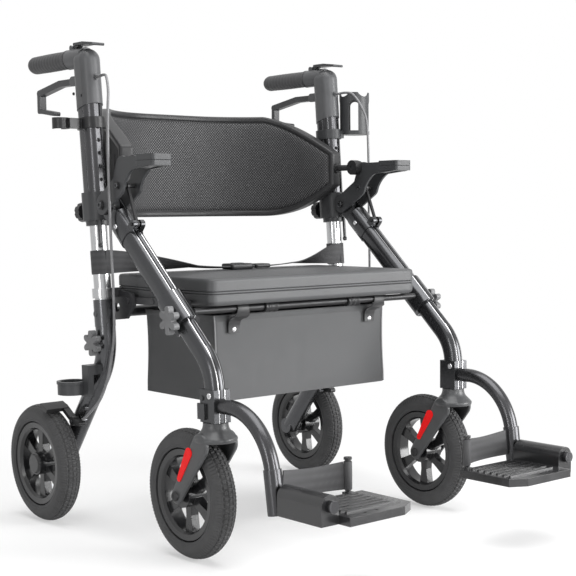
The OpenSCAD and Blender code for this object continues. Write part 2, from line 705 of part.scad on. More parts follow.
// fold pins, brace rods and the cross rod below the seat's front
module front_links_half() {
  xcyl(pin_d, side_x - arm_out, side_x + arm_out, [fold_y, fold_z]);
  xcyl(17, side_x + arm_out, side_x + arm_out + 3, [fold_y, fold_z]);
  xcyl(15, side_x - arm_out - 3, side_x - arm_out, [fold_y, fold_z]);
  xcyl(8, side_x - arm_out, side_x + arm_out, p2);
  xcyl(13, side_x + arm_out, side_x + arm_out + 3, p2);
  xcyl(6, side_x - 14, side_x + 14, p3);
  slab(side_x - 2.5, side_x + 2.5) {
    capsule(p2, p3, 2.5);
    translate(p2) circle(r = 6.5);
    translate(p3) circle(r = 5.5);
  }
  xcyl(rod_d, -1, side_x - collar_x / 2, rod_p);
}
module front_links() color(dark) org() {
  front_links_half();
  mirror([1, 0, 0]) front_links_half();
}

// lower front leg: sliding section, knee and swivel housing
module front_lower() {
  top_s = 190;
  difference() {
    union() {
      leg() {
        translate([0, 0, -leg_len + knee_t]) linear_extrude(leg_len - knee_t - top_s) stadium(leg_x, leg_y);
        translate([0, 0, -leg_len + knee_t]) bend(knee_r, fa) rotate(90) stadium(leg_x, leg_y);
      }
      box(side_x - house_x / 2, side_x + house_x / 2, cast_y - house_y / 2, cast_y + house_y / 2, house_low, house_high);
      box(side_x + house_x / 2, side_x + house_x / 2 + 4, cast_y + 3, cast_y + house_y / 2 + 3, house_low + 5, house_low + 32);
      xcyl(9, side_x, side_x + house_x / 2 + 2, [cast_y + 14, house_high - 15]);
    }
    leg() for (x = [-6, 2.5]) translate([x, -leg_y / 2 - 1, -leg_len + knee_t]) cube([3.5, 2.2, 60]);
    translate([side_x, cast_y, house_low - 1]) cylinder(d = stem_d + 2 * pin_gap, h = stem_top - house_low + 1 + rest_gap);
    ycyl(spigot_d + 2 * pin_gap, hang_y0 - 1, hang_y0 + 11, side_x, hang_z);
  }
}
module front_lower_l() color(metal) left() front_lower();
module front_lower_r() color(metal) right() front_lower();

module front_knob() {
  p = leg_p(star_s, 0);
  translate([side_x + collar_x / 2 + rest_gap, p[0], p[1]]) rotate([0, 90, 0]) star(50, 11);
  xcyl(8, side_x + leg_bore_x / 2 + 0.6, side_x + collar_x / 2 + 6, p);
}
module front_knob_l() color(black) left() front_knob();
module front_knob_r() color(black) right() front_knob();

// caster fork
fork_in = tyre_w / 2 + 4.5;
fork_out = fork_in + 7.5;
fork_top = [cast_y + 3, house_low - 24];
module fork() {
  translate([side_x, cast_y, 0]) {
    translate([0, 0, wheel_d - 8]) linear_extrude(17) rotate(90) stadium(52, 2 * fork_out - 4);
    translate([0, 0, wheel_d + 9]) cylinder(r1 = 26, r2 = 20, h = house_low - rest_gap - wheel_d - 9);
    translate([0, 0, wheel_d]) cylinder(d = stem_d, h = stem_top - wheel_d);
  }
  for (u = [-fork_out, fork_in]) slab(side_x + u, side_x + u + 7.5) taper(fork_top, 22, hub_f, 14);
  xcyl(10, side_x - fork_out, side_x + fork_out, hub_f);
  for (u = [-fork_out - 4, fork_out]) xcyl(17, side_x + u, side_x + u + 4, hub_f);
  for (u = [-fork_in, 21.4]) xcyl(15, side_x + u, side_x + u + fork_in - 21.4, hub_f);
}
module fork_l() color(dark) left() fork();
module fork_r() color(dark) right() fork();

module reflector() {
  for (u = [-fork_out - 1.6, fork_out]) slab(side_x + u, side_x + u + 1.6)
    taper(hub_f + [-43, 82], 9, hub_f + [-13, 33], 5);
}
module reflector_l() color([0.9, 0.05, 0.05]) left() reflector();
module reflector_r() color([0.9, 0.05, 0.05]) right() reflector();

module front_rim() translate([side_x, hub_f[0], hub_f[1]]) rim(10 + 2 * pin_gap, false);
module front_rim_l() color(black) left() front_rim();
module front_rim_r() color(black) right() front_rim();
module front_tyre() translate([side_x, hub_f[0], hub_f[1]]) tyre();
module front_tyre_l() color(dark) left() front_tyre();
module front_tyre_r() color(dark) right() front_tyre();

// foot rest hanger: spigot, swept tube, lower sleeve and hinge bolt
module hanger() {
  hang_len = 66;
  ycyl(spigot_d, hang_y0 - 1, hang_y0 + 10.5, side_x, hang_z);
  ycyl(hang_d, hang_y1, hang_y0 - rest_gap, side_x, hang_z);
  translate([side_x, hang_y1, hang_z]) rotate([-90, 0, 0]) bend(hang_r, hang_a) circle(d = hang_d);
  translate([side_x, hang_y2, hang_z2]) rotate([hang_a - 90, 0, 0]) translate([0, 0, -hang_len])
    cylinder(d = hang_d + 4, h = hang_len + 8);
  ycyl(12, foot_front + 24, hang_y2 - 2, hinge_x, hinge_z);
  ycyl(20, foot_front + 17, foot_front + 26.5, hinge_x, hinge_z);
}
module hanger_l() color(metal) left() hanger();
module hanger_r() color(metal) right() hanger();

module foot_plate() {
  y0 = foot_front + 27;
  y1 = hang_y2 - 26;
  difference() {
    union() {
      translate([0, y1, 0]) rotate([90, 0, 0]) linear_extrude(y1 - y0) {
        translate([hinge_x, hinge_z]) circle(r = 18);
        translate([hinge_x - 18, plate_z[0]]) square([36, 31]);
      }
      translate([0, 0, plate_z[0]]) linear_extrude(plate_z[1] - plate_z[0]) polygon([[hinge_x - 17, plate_rear],
        [hinge_x - 17, foot_front], [plate_in + 30, foot_front], [plate_in, foot_front + 18], [plate_in, plate_rear]]);
      for (i = [0 : 6]) box(plate_in + 14, hinge_x - 34, plate_rear - 18 - i * 15, plate_rear - 14 - i * 15,
        plate_z[1] - 1, plate_z[1] + 2.5);
      box(post_p[0] - 8, post_p[0] + 8, plate_rear - 4, post_p[1] + 6, plate_z[0], plate_z[1]);
      translate([post_p[0], post_p[1], plate_z[0]]) cylinder(d = 10, h = 71);
      translate([post_p[0], post_p[1], plate_z[0] + 69]) cylinder(d = 14, h = 4);
    }
    ycyl(12 + 2 * pin_gap, y0 - 5, y1 + 5, hinge_x, hinge_z);
    for (x = [hinge_x - 60, hinge_x - 85]) translate([x, foot_front + 14, plate_z[0] - 1]) cylinder(d = 6, h = 30);
  }
}
module foot_plate_l() color(dark) left() foot_plate();
module foot_plate_r() color(dark) right() foot_plate();

// heel strap from the hanger to the post
module heel_strap() {
  a = post_p + [0, 0];
  b = [side_x - hang_d / 2 - 6, hang_y2 - 2];
  r = 190;
  m = (a + b) / 2;
  h = norm(b - a) / 2;
  n = [-(b - a)[1], (b - a)[0]] / norm(b - a);
  c = m - n * sqrt(r * r - h * h);
  translate([0, 0, plate_z[1] + 4]) linear_extrude(48) {
    intersection() {
      difference() {
        translate(c) circle(r = r + 1.2);
        translate(c) circle(r = r - 1.2);
      }
      polygon([c, c + 1.6 * (a + 6.5 * unit(b - a) - c), c + 1.6 * (m + 40 * n - c), c + 1.6 * (b - c)]);
    }
    difference() {
      translate(a) circle(d = 14);
      translate(a) circle(d = 10.4);
    }
    translate([b[0] - 1, b[1] - 3]) square([side_x - hang_d / 2 - 2.4 - b[0], 6]);
  }
}
module heel_strap_l() color(cloth) left() heel_strap();
module heel_strap_r() color(cloth) right() heel_strap();

// seat pad: rings of a rounded rectangle, drawn in at a groove, crowned on top
function ring_pt(k, n, w, y0, y1, r) = let (q = floor(4 * k / n), f = (4 * k / n - q) * 90,
  sx = (q == 0 || q == 3) ? 1 : -1, sy = (q < 2) ? 1 : -1, a = q * 90 + f)
  [sx * (w / 2 - r) + r * cos(a), (sy > 0 ? y1 - r : y0 + r) + r * sin(a)];
module seat_pad() color(dark) org() {
  y0 = seat_front;
  y1 = seat_front + seat_l;
  n = 48;
  // inset and height of each ring, as shares of the thickness
  rings = [[30, 0], [5, 0], [1, 0.06], [0, 0.2], [0, 0.42], [3, 0.47], [3, 0.53], [0, 0.58], [0, 0.95], [1, 1.01],
    [4, 1.04], [14, 1.055], [40, 1.07], [80, 1.085], [120, 1.09]];
  pts = [for (s = rings, k = [0 : n - 1]) let (p = ring_pt(k, n, seat_w - 2 * s[0], y0 + s[0], y1 - s[0],
    max(13 - s[0] * 0.1, 5))) [p[0], p[1], seat_low + s[1] * seat_t]];
  lofted(pts, len(rings), n);
}

// seat pan with the two clamps that turn on the front rod
module seat_pan() color(black) org() {
  y0 = rod_p[0] + 11;
  difference() {
    union() {
      translate([0, 0, seat_low - 6]) linear_extrude(6) plan_rect(seat_w - 70, y0, seat_front + seat_l - 40, 20);
      for (x = [-100, 100]) {
        xcyl(rod_d + 7, x - 14, x + 14, rod_p);
        box(x - 14, x + 14, rod_p[0], y0 + 12, seat_low - 7, seat_low - 1.5);
      }
    }
    for (x = [-100, 100]) xcyl(rod_d + 2 * slide_gap, x - 20, x + 20, rod_p);
    translate([0, 0, seat_low]) linear_extrude(20) square(900, center = true);
  }
}

// backrest: padded bow, full height in the middle, tapered to both ends
function bow(s) = let (t = abs(s), q = s < 0 ? -1 : 1, a = min(max((t - back_flat) / back_r * 180 / PI, 0), back_end),
  l = max(t - back_s + back_len, 0))
  [q * (min(t, back_flat) + back_r * sin(a) + l * cos(a)), back_y - back_r * (1 - cos(a)) - l * sin(a), q * a];
function bow_end(s) = min(max((abs(s) - back_flat - 166) / (back_s - back_flat - 166), 0), 1);
function bow_top(s) = back_h - 99 - (back_h - 131) * pow(bow_end(s), 1.35);
function bow_low(s) = 99 - 63 * pow(bow_end(s), 1.9);
module backrest() color(dark) org() {
  m = 45;
  n = 16;
  pts = [for (i = [0 : m - 1]) let (s = back_s * (2 * i / (m - 1) - 1), b = bow(s))
    for (k = [0 : n - 1]) let (a = 360 * k / n + 11.25, c = cos(a), d = sin(a),
      u = sign(c) * pow(abs(c), 0.5) * back_t / 2,
      w = d > 0 ? pow(d, 0.3) * bow_top(s) : -pow(-d, 0.3) * bow_low(s))
    [b[0] + u * sin(b[2]), b[1] + u * cos(b[2]), back_z + w]];
  lofted(pts, m, n);
}
module back_rod() {
  a = [tip_x + 1.5 * cos(back_end), tip_y - 1.5 * sin(back_end)];
  b = [side_x - arm_out - 8, hub_p[0]];
  difference() {
    union() {
      xcyl(30, side_x - arm_out - 16, side_x - arm_out - rest_gap, hub_p);
      translate([a[0], a[1], back_z]) rotate([0, 0, atan2(b[1] - a[1], b[0] - a[0])]) rotate([0, 90, 0])
        cylinder(d = 12, h = norm(b - a));
      translate([tip_x, tip_y, back_z]) rotate([0, 0, -back_end]) rotate([0, 90, 0]) cylinder(d = 20, h = 4);
    }
    xcyl(10 + 2 * pin_gap, side_x - arm_out - 17, side_x - arm_out + 1, hub_p);
  }
}
module back_rods() color(black) org() {
  back_rod();
  mirror([1, 0, 0]) back_rod();
}

rear_frame();
clamp_bracket_l();
clamp_bracket_r();
clamp_knob_l();
clamp_knob_r();
bag();
belts();
buckle();
cable_l();
cable_r();
rear_leg_l();
rear_leg_r();
rear_knob_l();
rear_knob_r();
rear_rim_l();
rear_rim_r();
rear_tyre_l();
rear_tyre_r();
brake_arm_l();
brake_arm_r();
cane_cup();
handle_tube_l();
handle_tube_r();
housing_l();
housing_r();
grip_l();
grip_r();
brake_lever_l();
brake_lever_r();
park_lever_l();
park_lever_r();
cane_clip();
cup_holder();
armrest_l();
armrest_r();
front_leg_l();
front_leg_r();
front_links();
front_lower_l();
front_lower_r();
front_knob_l();
front_knob_r();
fork_l();
fork_r();
reflector_l();
reflector_r();
front_rim_l();
front_rim_r();
front_tyre_l();
front_tyre_r();
hanger_l();
hanger_r();
foot_plate_l();
foot_plate_r();
heel_strap_l();
heel_strap_r();
seat_pad();
seat_pan();
backrest();
back_rods();
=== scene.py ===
"""Looks of a rollator transport chair: its finishes, soft pieces and small fittings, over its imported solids."""
import math

import bmesh
import bpy
import numpy as np
from mathutils import Matrix, Vector


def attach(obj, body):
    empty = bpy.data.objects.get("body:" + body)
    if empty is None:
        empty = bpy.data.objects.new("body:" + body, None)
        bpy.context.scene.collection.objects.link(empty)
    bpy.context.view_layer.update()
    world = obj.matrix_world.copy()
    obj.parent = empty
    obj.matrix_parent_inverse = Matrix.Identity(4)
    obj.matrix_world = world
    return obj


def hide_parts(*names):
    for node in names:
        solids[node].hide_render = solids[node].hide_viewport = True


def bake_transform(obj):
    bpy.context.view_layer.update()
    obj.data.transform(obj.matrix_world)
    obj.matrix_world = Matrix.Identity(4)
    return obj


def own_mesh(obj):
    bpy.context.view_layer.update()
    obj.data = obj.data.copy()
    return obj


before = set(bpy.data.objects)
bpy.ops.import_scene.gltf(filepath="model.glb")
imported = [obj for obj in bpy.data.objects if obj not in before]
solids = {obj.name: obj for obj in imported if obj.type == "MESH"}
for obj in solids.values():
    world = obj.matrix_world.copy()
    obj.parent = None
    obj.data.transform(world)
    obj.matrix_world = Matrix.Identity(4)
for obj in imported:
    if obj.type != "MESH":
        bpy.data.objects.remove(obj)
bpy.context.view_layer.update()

# ---- measures, in millimetres about the rear axle ----
AXLE_Y = 355.0
SIDE_X = 289.0
SIGN = {"l": 1, "r": -1}
LEAN = math.radians(4.1)
UPRIGHT_FOOT = (-164.0, 440.0)
WHEEL_R, TYRE_W = 115.0, 44.0
FRONT_HUB, REAR_X = (-436.0, 115.0), 334.0
FOLD = (-201.03, 614.0)
ROD = (-422.06, 429.93)
SEAT_LOW, SEAT_T, SEAT_HALF, SEAT_FRONT, SEAT_L = 437.93, 46.0, 247.0, -447.06, 305.0
BACK_FLAT, BACK_R, BACK_TURN, BACK_TAIL, BACK_Y, BACK_Z = 50.0, 190.0, math.radians(78), 90.0, 33.0, 689.0
BACK_S = BACK_FLAT + BACK_R * BACK_TURN + BACK_TAIL
BACK_FULL = BACK_FLAT + 166.0
GRIP_Z, GRIP_R, GRIP_END, GRIP_L = 884.0, 16.5, 70.0, 145.0
BELT_R, BELT_W, BELT_IN, BUCKLE_Y = 17.3, 69.0, 44.0, -224.0
STEM_Y, STEM_TOP = -511.0, 250.0
HOOK_X = 165.0
HOOD_R, HOOD_FALL, ARM_R, ARM_END_R = 37.0, 33.0, 21.0, 14.0
BAG_HALF, BAG_FRONT, BAG_REAR, BAG_TOP, BAG_LOW = 208.0, -398.06, -172.0, 417.93, 261.93


def metres(points):
    """Millimetres about the rear axle to metres in the shared frame: the axle's place is added, then a thousandth."""
    return (np.asarray(points, float) + (0.0, AXLE_Y, 0.0)) / 1000.0


# ---- finishes ----
class Value:
    """A socket's value. Arithmetic on it adds Math nodes."""

    def __init__(self, finish, socket):
        self.finish, self.socket = finish, socket

    def maths(self, operation, a, b=0.0):
        return self.finish.add("ShaderNodeMath", {"operation": operation}, {0: a, 1: b})

    def __add__(self, other):
        return self.maths("ADD", self, other)

    def __radd__(self, other):
        return self.maths("ADD", other, self)

    def __sub__(self, other):
        return self.maths("SUBTRACT", self, other)

    def __rsub__(self, other):
        return self.maths("SUBTRACT", other, self)

    def __mul__(self, other):
        return self.maths("MULTIPLY", self, other)

    def __rmul__(self, other):
        return self.maths("MULTIPLY", other, self)

    def __gt__(self, other):
        return self.maths("GREATER_THAN", self, other)

    def __lt__(self, other):
        return self.maths("LESS_THAN", self, other)

    def __abs__(self):
        return self.maths("ABSOLUTE", self)


class Finish:
    """One material: its shader's constants are set on the sockets, and what varies is fed to them."""

    def __init__(self, name, colour, roughness, **more):
        self.material = bpy.data.materials.new(name)
        self.material.use_nodes = True
        self.tree = self.material.node_tree
        self.shader = self.tree.nodes["Principled BSDF"]
        self.colour, self.roughness = tuple(colour) + (1.0,), roughness
        self.shader.inputs["Base Color"].default_value = self.colour
        self.shader.inputs["Roughness"].default_value = roughness
        for socket, value in more.items():
            self.shader.inputs[socket.replace("_", " ")].default_value = value
        self.material.diffuse_color = self.colour

    def add(self, kind, settings, sockets, out=0):
        """A node of any type: its settings first, then the values or links of its sockets."""
        node = self.tree.nodes.new(kind)
        for key, value in settings.items():
            setattr(node, key, value)
        for key, value in sockets.items():
            if isinstance(value, Value):
                self.tree.links.new(value.socket, node.inputs[key])
            else:
                node.inputs[key].default_value = value
        return Value(self, node.outputs[out])

    def feed(self, socket, value):
        self.tree.links.new(value.socket, self.shader.inputs[socket])
        return self

    def where(self):
        return self.add("ShaderNodeTexCoord", {}, {}, "Object")

    def cut(self):
        return self.add("ShaderNodeTexCoord", {}, {}, "UV")

    def turned(self, at, scale=(1, 1, 1), turn=0.0):
        return self.add("ShaderNodeMapping", {}, {"Vector": at, "Scale": scale, "Rotation": (0, 0, turn)})

    def part(self, at, axis):
        return self.add("ShaderNodeSeparateXYZ", {}, {0: at}, axis)

    def side_view(self):
        """The place seen from the side: across is Y and up is Z."""
        at = self.where()
        return self.add("ShaderNodeCombineXYZ", {}, {0: self.part(at, "Y"), 1: self.part(at, "Z"), 2: 0.0})

    def noise(self, at, scale, detail=2.0, rough=0.5):
        return self.add("ShaderNodeTexNoise", {}, {"Vector": at, "Scale": scale, "Detail": detail, "Roughness": rough})

    def cells(self, at, scale, randomness=0.0, flat=True):
        return self.add("ShaderNodeTexVoronoi", {"voronoi_dimensions": "2D" if flat else "3D"},
                        {"Vector": at, "Scale": scale, "Randomness": randomness})

    def wave(self, at, scale, direction):
        return self.add("ShaderNodeTexWave", {"bands_direction": direction, "wave_profile": "SIN"},
                        {"Vector": at, "Scale": scale, "Distortion": 0.0}, 1)

    def span(self, value, low, high, to_low=0.0, to_high=1.0):
        return self.add("ShaderNodeMapRange", {}, {0: value, 1: low, 2: high, 3: to_low, 4: to_high})

    def mix(self, share, low, high):
        a, b = (c if isinstance(c, Value) else tuple(c) + (1.0,) for c in (low, high))
        return self.add("ShaderNodeMix", {"data_type": "RGBA"}, {0: share, 6: a, 7: b}, 2)

    def shades(self, share, low=0.8, high=1.2):
        """The finish's own colour, from darker to lighter as the share goes from 0 to 1."""
        return self.mix(share, [c * low for c in self.colour[:3]], [c * high for c in self.colour[:3]])

    def rounded(self, radius):
        """Normals that round the edges of a hard piece off by the radius."""
        return self.add("ShaderNodeBevel", {"samples": 4}, {"Radius": radius})

    def relief(self, height, depth, strength=1.0, normal=None):
        sockets = {"Height": height, "Distance": depth, "Strength": strength}
        if normal is not None:
            sockets["Normal"] = normal
        return self.feed("Normal", self.add("ShaderNodeBump", {}, sockets))


def moulded(name, colour, roughness, grain=0.00006, edge=0.0009, **more):
    """Moulded plastic: slow shade changes, a fine spark-eroded grain and softened edges."""
    f = Finish(name, colour, roughness, **{"Specular_IOR_Level": 0.28, **more})
    slow, fine = f.noise(f.where(), 22.0, 3.0), f.noise(f.where(), 1400.0, 1.0)
    f.feed("Base Color", f.shades(f.span(slow, 0.3, 0.7), 0.86, 1.12))
    f.feed("Roughness", f.span(slow, 0.25, 0.75, roughness - 0.06, roughness + 0.07))
    return f.relief(fine, grain, 0.6, f.rounded(edge))


def coated_metal(name, colour, roughness, metallic, edge=0.0008):
    """Metallic powder coat: tiny flakes lighten it, long rubs vary its gloss."""
    f = Finish(name, colour, roughness, Metallic=metallic)
    flakes = f.noise(f.where(), 2600.0, 1.0)
    rubs = f.noise(f.turned(f.where(), (60, 60, 9)), 1.0, 3.0)
    f.feed("Base Color", f.shades(f.span(flakes, 0.35, 0.65), 0.88, 1.14))
    f.feed("Roughness", f.span(rubs, 0.3, 0.7, roughness - 0.05, roughness + 0.07))
    return f.relief(flakes, 0.00002, 0.5, f.rounded(edge))


dark_plastic = moulded("dark_plastic", (0.036, 0.037, 0.039), 0.40)
plate_plastic = moulded("plate_plastic", (0.019, 0.019, 0.020), 0.22, Specular_IOR_Level=0.55)
black_plastic = moulded("black_plastic", (0.016, 0.016, 0.017), 0.36)
knob_plastic = moulded("knob_plastic", (0.135, 0.136, 0.139), 0.40)
hook_plastic = moulded("hook_plastic", (0.030, 0.030, 0.031), 0.38)
rim_plastic = moulded("rim_plastic", (0.012, 0.012, 0.013), 0.22, 0.00002, 0.0015, Specular_IOR_Level=0.5)
fork_plastic = moulded("fork_plastic", (0.050, 0.051, 0.053), 0.36, 0.00003, 0.0025, Specular_IOR_Level=0.4)
housing_plastic = moulded("housing_plastic", (0.075, 0.076, 0.079), 0.36)
lever_plastic = moulded("lever_plastic", (0.036, 0.037, 0.039), 0.36)
grey_metal = coated_metal("grey_metal", (0.062, 0.063, 0.066), 0.25, 0.88)
tube_metal = coated_metal("tube_metal", (0.060, 0.060, 0.063), 0.26, 0.85)
dark_steel = coated_metal("dark_steel", (0.022, 0.022, 0.023), 0.44, 0.5)
bright_steel = coated_metal("bright_steel", (0.62, 0.62, 0.63), 0.24, 1.0, 0.0004)
silver_metal = coated_metal("silver_metal", (0.085, 0.086, 0.090), 0.24, 0.9)


def leg_metal():
    """Coated metal of the front legs: two grooves run along each leg, their dark colour painted shade, each beside a
    bright lip that is a painted highlight. The legs lie in planes of constant X, so a distance across from the leg's
    middle draws lines that follow its bends."""
    f = Finish("leg_metal", (0.062, 0.063, 0.066), 0.25, Metallic=0.88)
    flakes = f.noise(f.where(), 2600.0, 1.0)
    across = abs(abs(f.part(f.where(), "X")) - SIDE_X / 1000.0)
    below = f.part(f.where(), "Z") < 0.565
    # painted shade: the groove mask turns the colour near black inside each groove (it also drives the real relief
    # below)
    groove = (abs(across - 0.0040) < 0.0009) * below
    # painted highlight: this mask lays a bright, near-white strip beside each groove in place of the lamp's reflection
    painted_lip_highlight = (abs(across - 0.0058) < 0.0008) * below
    coat = f.mix(groove, f.shades(f.span(flakes, 0.35, 0.65), 0.88, 1.14), (0.006, 0.006, 0.006))
    f.feed("Base Color", f.mix(painted_lip_highlight, coat, (0.55, 0.55, 0.56)))
    f.feed("Roughness", f.span(painted_lip_highlight, 0.0, 1.0, 0.25, 0.18))
    return f.relief(1.0 - groove, 0.0008, 0.8, f.rounded(0.0008))


def frame_metal():
    """The uprights are drawn aluminium with fine lines along them; the rails between them are black."""
    f = Finish("bare_aluminium", (0.44, 0.444, 0.45), 0.20, Metallic=1.0)
    outer = abs(f.part(f.where(), "X")) > 0.272
    lines = f.noise(f.turned(f.where(), (900, 900, 12)), 1.0, 2.0)
    f.feed("Base Color", f.mix(outer, (0.022, 0.022, 0.024), f.shades(f.span(lines, 0.3, 0.7), 0.9, 1.08)))
    f.feed("Metallic", outer * 0.95)
    f.feed("Roughness", f.span(lines, 0.3, 0.7, 0.18, 0.26) + (1.0 - outer) * 0.18)
    return f.relief(lines, 0.00002, 0.4, f.rounded(0.0008))


def tyre_rubber():
    """Matt rubber: dusty in patches, with a fine skin."""
    f = Finish("tyre", (0.042, 0.042, 0.043), 0.56, Specular_IOR_Level=0.35)
    dust = f.noise(f.where(), 45.0, 5.0, 0.6)
    f.feed("Base Color", f.shades(f.span(dust, 0.35, 0.7), 0.82, 1.25))
    f.feed("Roughness", f.span(dust, 0.3, 0.7, 0.54, 0.72))
    return f.relief(f.noise(f.where(), 1500.0, 1.0), 0.00005, 0.5)


def grip_rubber():
    """Soft rubber with a pebbled skin."""
    f = Finish("grip_rubber", (0.060, 0.060, 0.062), 0.55, Specular_IOR_Level=0.3)
    pebbles = f.cells(f.where(), 900.0, 1.0, False)
    f.feed("Base Color", f.shades(f.span(pebbles, 0.0, 0.6), 1.12, 0.85))
    return f.relief(pebbles, 0.0001, 0.6)


def seat_skin():
    """Moulded foam skin: a fine leather-like grain of cells with a slow change of shade."""
    f = Finish("seat_skin", (0.058, 0.059, 0.061), 0.50, Specular_IOR_Level=0.3)
    slow, grain = f.noise(f.where(), 9.0, 3.0), f.cells(f.where(), 620.0, 1.0, False)
    f.feed("Base Color", f.shades(f.span(slow, 0.3, 0.7), 0.9, 1.1))
    f.feed("Roughness", f.span(grain, 0.0, 0.7, 0.56, 0.44))
    return f.relief(grain, 0.00016, 0.5)


def mesh_fabric():
    """Spacer mesh: rows of small raised dots of yarn set on the diagonal, over a darker open ground."""
    f = Finish("mesh_fabric", (0.082, 0.082, 0.084), 0.50, Specular_IOR_Level=0.35)
    dots = f.span(f.cells(f.turned(f.cut(), (1, 1, 1), math.radians(45)), 235.0), 0.46, 0.22)
    slow = f.noise(f.cut(), 14.0, 2.0)
    f.feed("Base Color", f.mix(dots, (0.010, 0.010, 0.011), f.shades(f.span(slow, 0.3, 0.7), 0.9, 1.1)))
    f.feed("Roughness", f.span(dots, 0.0, 1.0, 0.8, 0.46))
    return f.relief(dots, 0.0004, 0.6)


def woven(name, colour, roughness, pitch, depth, light=1.25):
    """Plain weave: two sine waves cross at the pitch of the yarns, in millimetres."""
    f = Finish(name, colour, roughness, Specular_IOR_Level=0.25)
    turns = 2 * math.pi * 1000.0 / pitch / 20.0
    warp, weft = f.wave(f.cut(), turns, "X"), f.wave(f.cut(), turns, "Y")
    weave = warp * weft
    slow = f.noise(f.cut(), 30.0, 3.0)
    f.feed("Base Color", f.shades(f.span(weave + slow * 0.5, 0.1, 1.0), 0.8, light))
    f.feed("Roughness", f.span(slow, 0.3, 0.7, roughness - 0.05, roughness + 0.08))
    return f.relief(weave, depth, 0.7)


def reflector_lens():
    """Red lens with a grid of small prisms under a clear gloss."""
    f = Finish("reflector", (0.84, 0.006, 0.008), 0.40, Specular_IOR_Level=0.15)
    prisms = f.cells(f.turned(f.side_view(), (1, 1, 1), math.radians(30)), 420.0)
    f.feed("Base Color", f.mix(f.span(prisms, 0.1, 0.6), (0.90, 0.012, 0.012), (0.66, 0.003, 0.005)))
    return f.relief(prisms, 0.0003, 0.5)


leg_coat = leg_metal()
aluminium = frame_metal()
rubber = tyre_rubber()
grip_skin = grip_rubber()
seat_cloth = seat_skin()
back_mesh = mesh_fabric()
back_rim = moulded("back_rim", (0.024, 0.024, 0.025), 0.42)
back_cloth = woven("back_cloth", (0.030, 0.030, 0.031), 0.7, 1.6, 0.0003)
bag_cloth = woven("bag_fabric", (0.076, 0.077, 0.079), 0.62, 1.1, 0.00008, 1.1)
# painted highlight: the piping is far lighter than the bag cloth, standing in for the light line along the bag's front
# corners
bag_piping_painted_highlight = woven("bag_piping_painted_highlight", (0.19, 0.19, 0.195), 0.5, 1.2, 0.0001)
belt_web = woven("webbing", (0.050, 0.050, 0.052), 0.6, 1.8, 0.0004)
strap_web = woven("strap_webbing", (0.058, 0.058, 0.060), 0.6, 2.2, 0.0004)
cable_skin = moulded("cable_skin", (0.16, 0.16, 0.165), 0.3, 0.00001, 0.0003)
red_lens = reflector_lens()

SOLID_FINISH = {
    "rear_frame": aluminium, "clamp_bracket": dark_plastic, "clamp_knob": black_plastic, "rear_leg": silver_metal,
    "rear_knob": knob_plastic, "rear_rim": rim_plastic, "brake_arm": dark_steel, "cane_cup": dark_plastic,
    "handle_tube": tube_metal, "housing": housing_plastic, "brake_lever": lever_plastic, "park_lever": lever_plastic,
    "cane_clip": black_plastic, "cup_holder": dark_plastic, "armrest": dark_plastic, "front_leg": leg_coat,
    "front_links": dark_steel, "front_lower": leg_coat, "front_knob": knob_plastic, "fork": fork_plastic,
    "reflector": red_lens, "front_rim": rim_plastic, "hanger": tube_metal, "foot_plate": plate_plastic,
    "seat_pan": black_plastic, "back_rods": dark_steel,
}
for name, solid in solids.items():
    finish = SOLID_FINISH.get(name) or SOLID_FINISH.get(name[:-2]) or dark_plastic
    solid.data.materials.clear()
    solid.data.materials.append(finish.material)


# ---- surfaces ----
def surface(name, grid, finishes, body, around=True, along=False, uv=None, bands=None, sharp=50.0):
    """A piece from a grid of points: each cell of the grid is a face, rows and columns may close on themselves,
    equal points are merged, and all faces are turned outwards. Bands give each row of cells its finish."""
    rows, columns = grid.shape[:2]
    ids = np.arange(rows * columns).reshape(rows, columns)
    if around:
        ids = np.concatenate([ids, ids[:, :1]], 1)
    if along:
        ids = np.concatenate([ids, ids[:1]], 0)
    corners = lambda a: np.stack([a[:-1, :-1], a[1:, :-1], a[1:, 1:], a[:-1, 1:]], 2).reshape((-1, 4) + a.shape[2:])
    quads = corners(ids)
    mesh = bpy.data.meshes.new(name)
    mesh.vertices.add(rows * columns)
    mesh.vertices.foreach_set("co", metres(grid.reshape(-1, 3)).astype(np.float32).ravel())
    mesh.loops.add(quads.size)
    mesh.loops.foreach_set("vertex_index", quads.astype(np.int32).ravel())
    mesh.polygons.add(len(quads))
    mesh.polygons.foreach_set("loop_start", np.arange(0, quads.size, 4, dtype=np.int32))
    mesh.polygons.foreach_set("loop_total", np.full(len(quads), 4, np.int32))
    if bands is not None:
        mesh.polygons.foreach_set("material_index", np.repeat(bands, ids.shape[1] - 1).astype(np.int32))
    mesh.update(calc_edges=True)
    if uv is not None:
        mesh.uv_layers.new(name="cut").data.foreach_set("uv", (corners(uv) / 1000.0).astype(np.float32).ravel())
    tidy = bmesh.new()
    tidy.from_mesh(mesh)
    bmesh.ops.remove_doubles(tidy, verts=tidy.verts, dist=1e-6)
    bmesh.ops.dissolve_degenerate(tidy, edges=tidy.edges, dist=1e-7)
    bmesh.ops.recalc_face_normals(tidy, faces=tidy.faces)
    tidy.to_mesh(mesh)
    tidy.free()
    mesh.polygons.foreach_set("use_smooth", np.ones(len(mesh.polygons), bool))
    mesh.set_sharp_from_angle(angle=math.radians(sharp))
    for f in finishes if isinstance(finishes, (list, tuple)) else [finishes]:
        mesh.materials.append(f.material)
    piece = bpy.data.objects.new(name, mesh)
    bpy.context.scene.collection.objects.link(piece)
    if body:
        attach(piece, body)
    return piece


def join(name, pieces, body):
    """One piece from several: their meshes are joined, and their finishes kept."""
    for p in pieces:
        p.parent = None
    with bpy.context.temp_override(active_object=pieces[0], object=pieces[0], selected_objects=pieces,
                                   selected_editable_objects=pieces):
        bpy.ops.object.join()
    pieces[0].name = pieces[0].data.name = name
    if body:
        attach(pieces[0], body)
    return pieces[0]


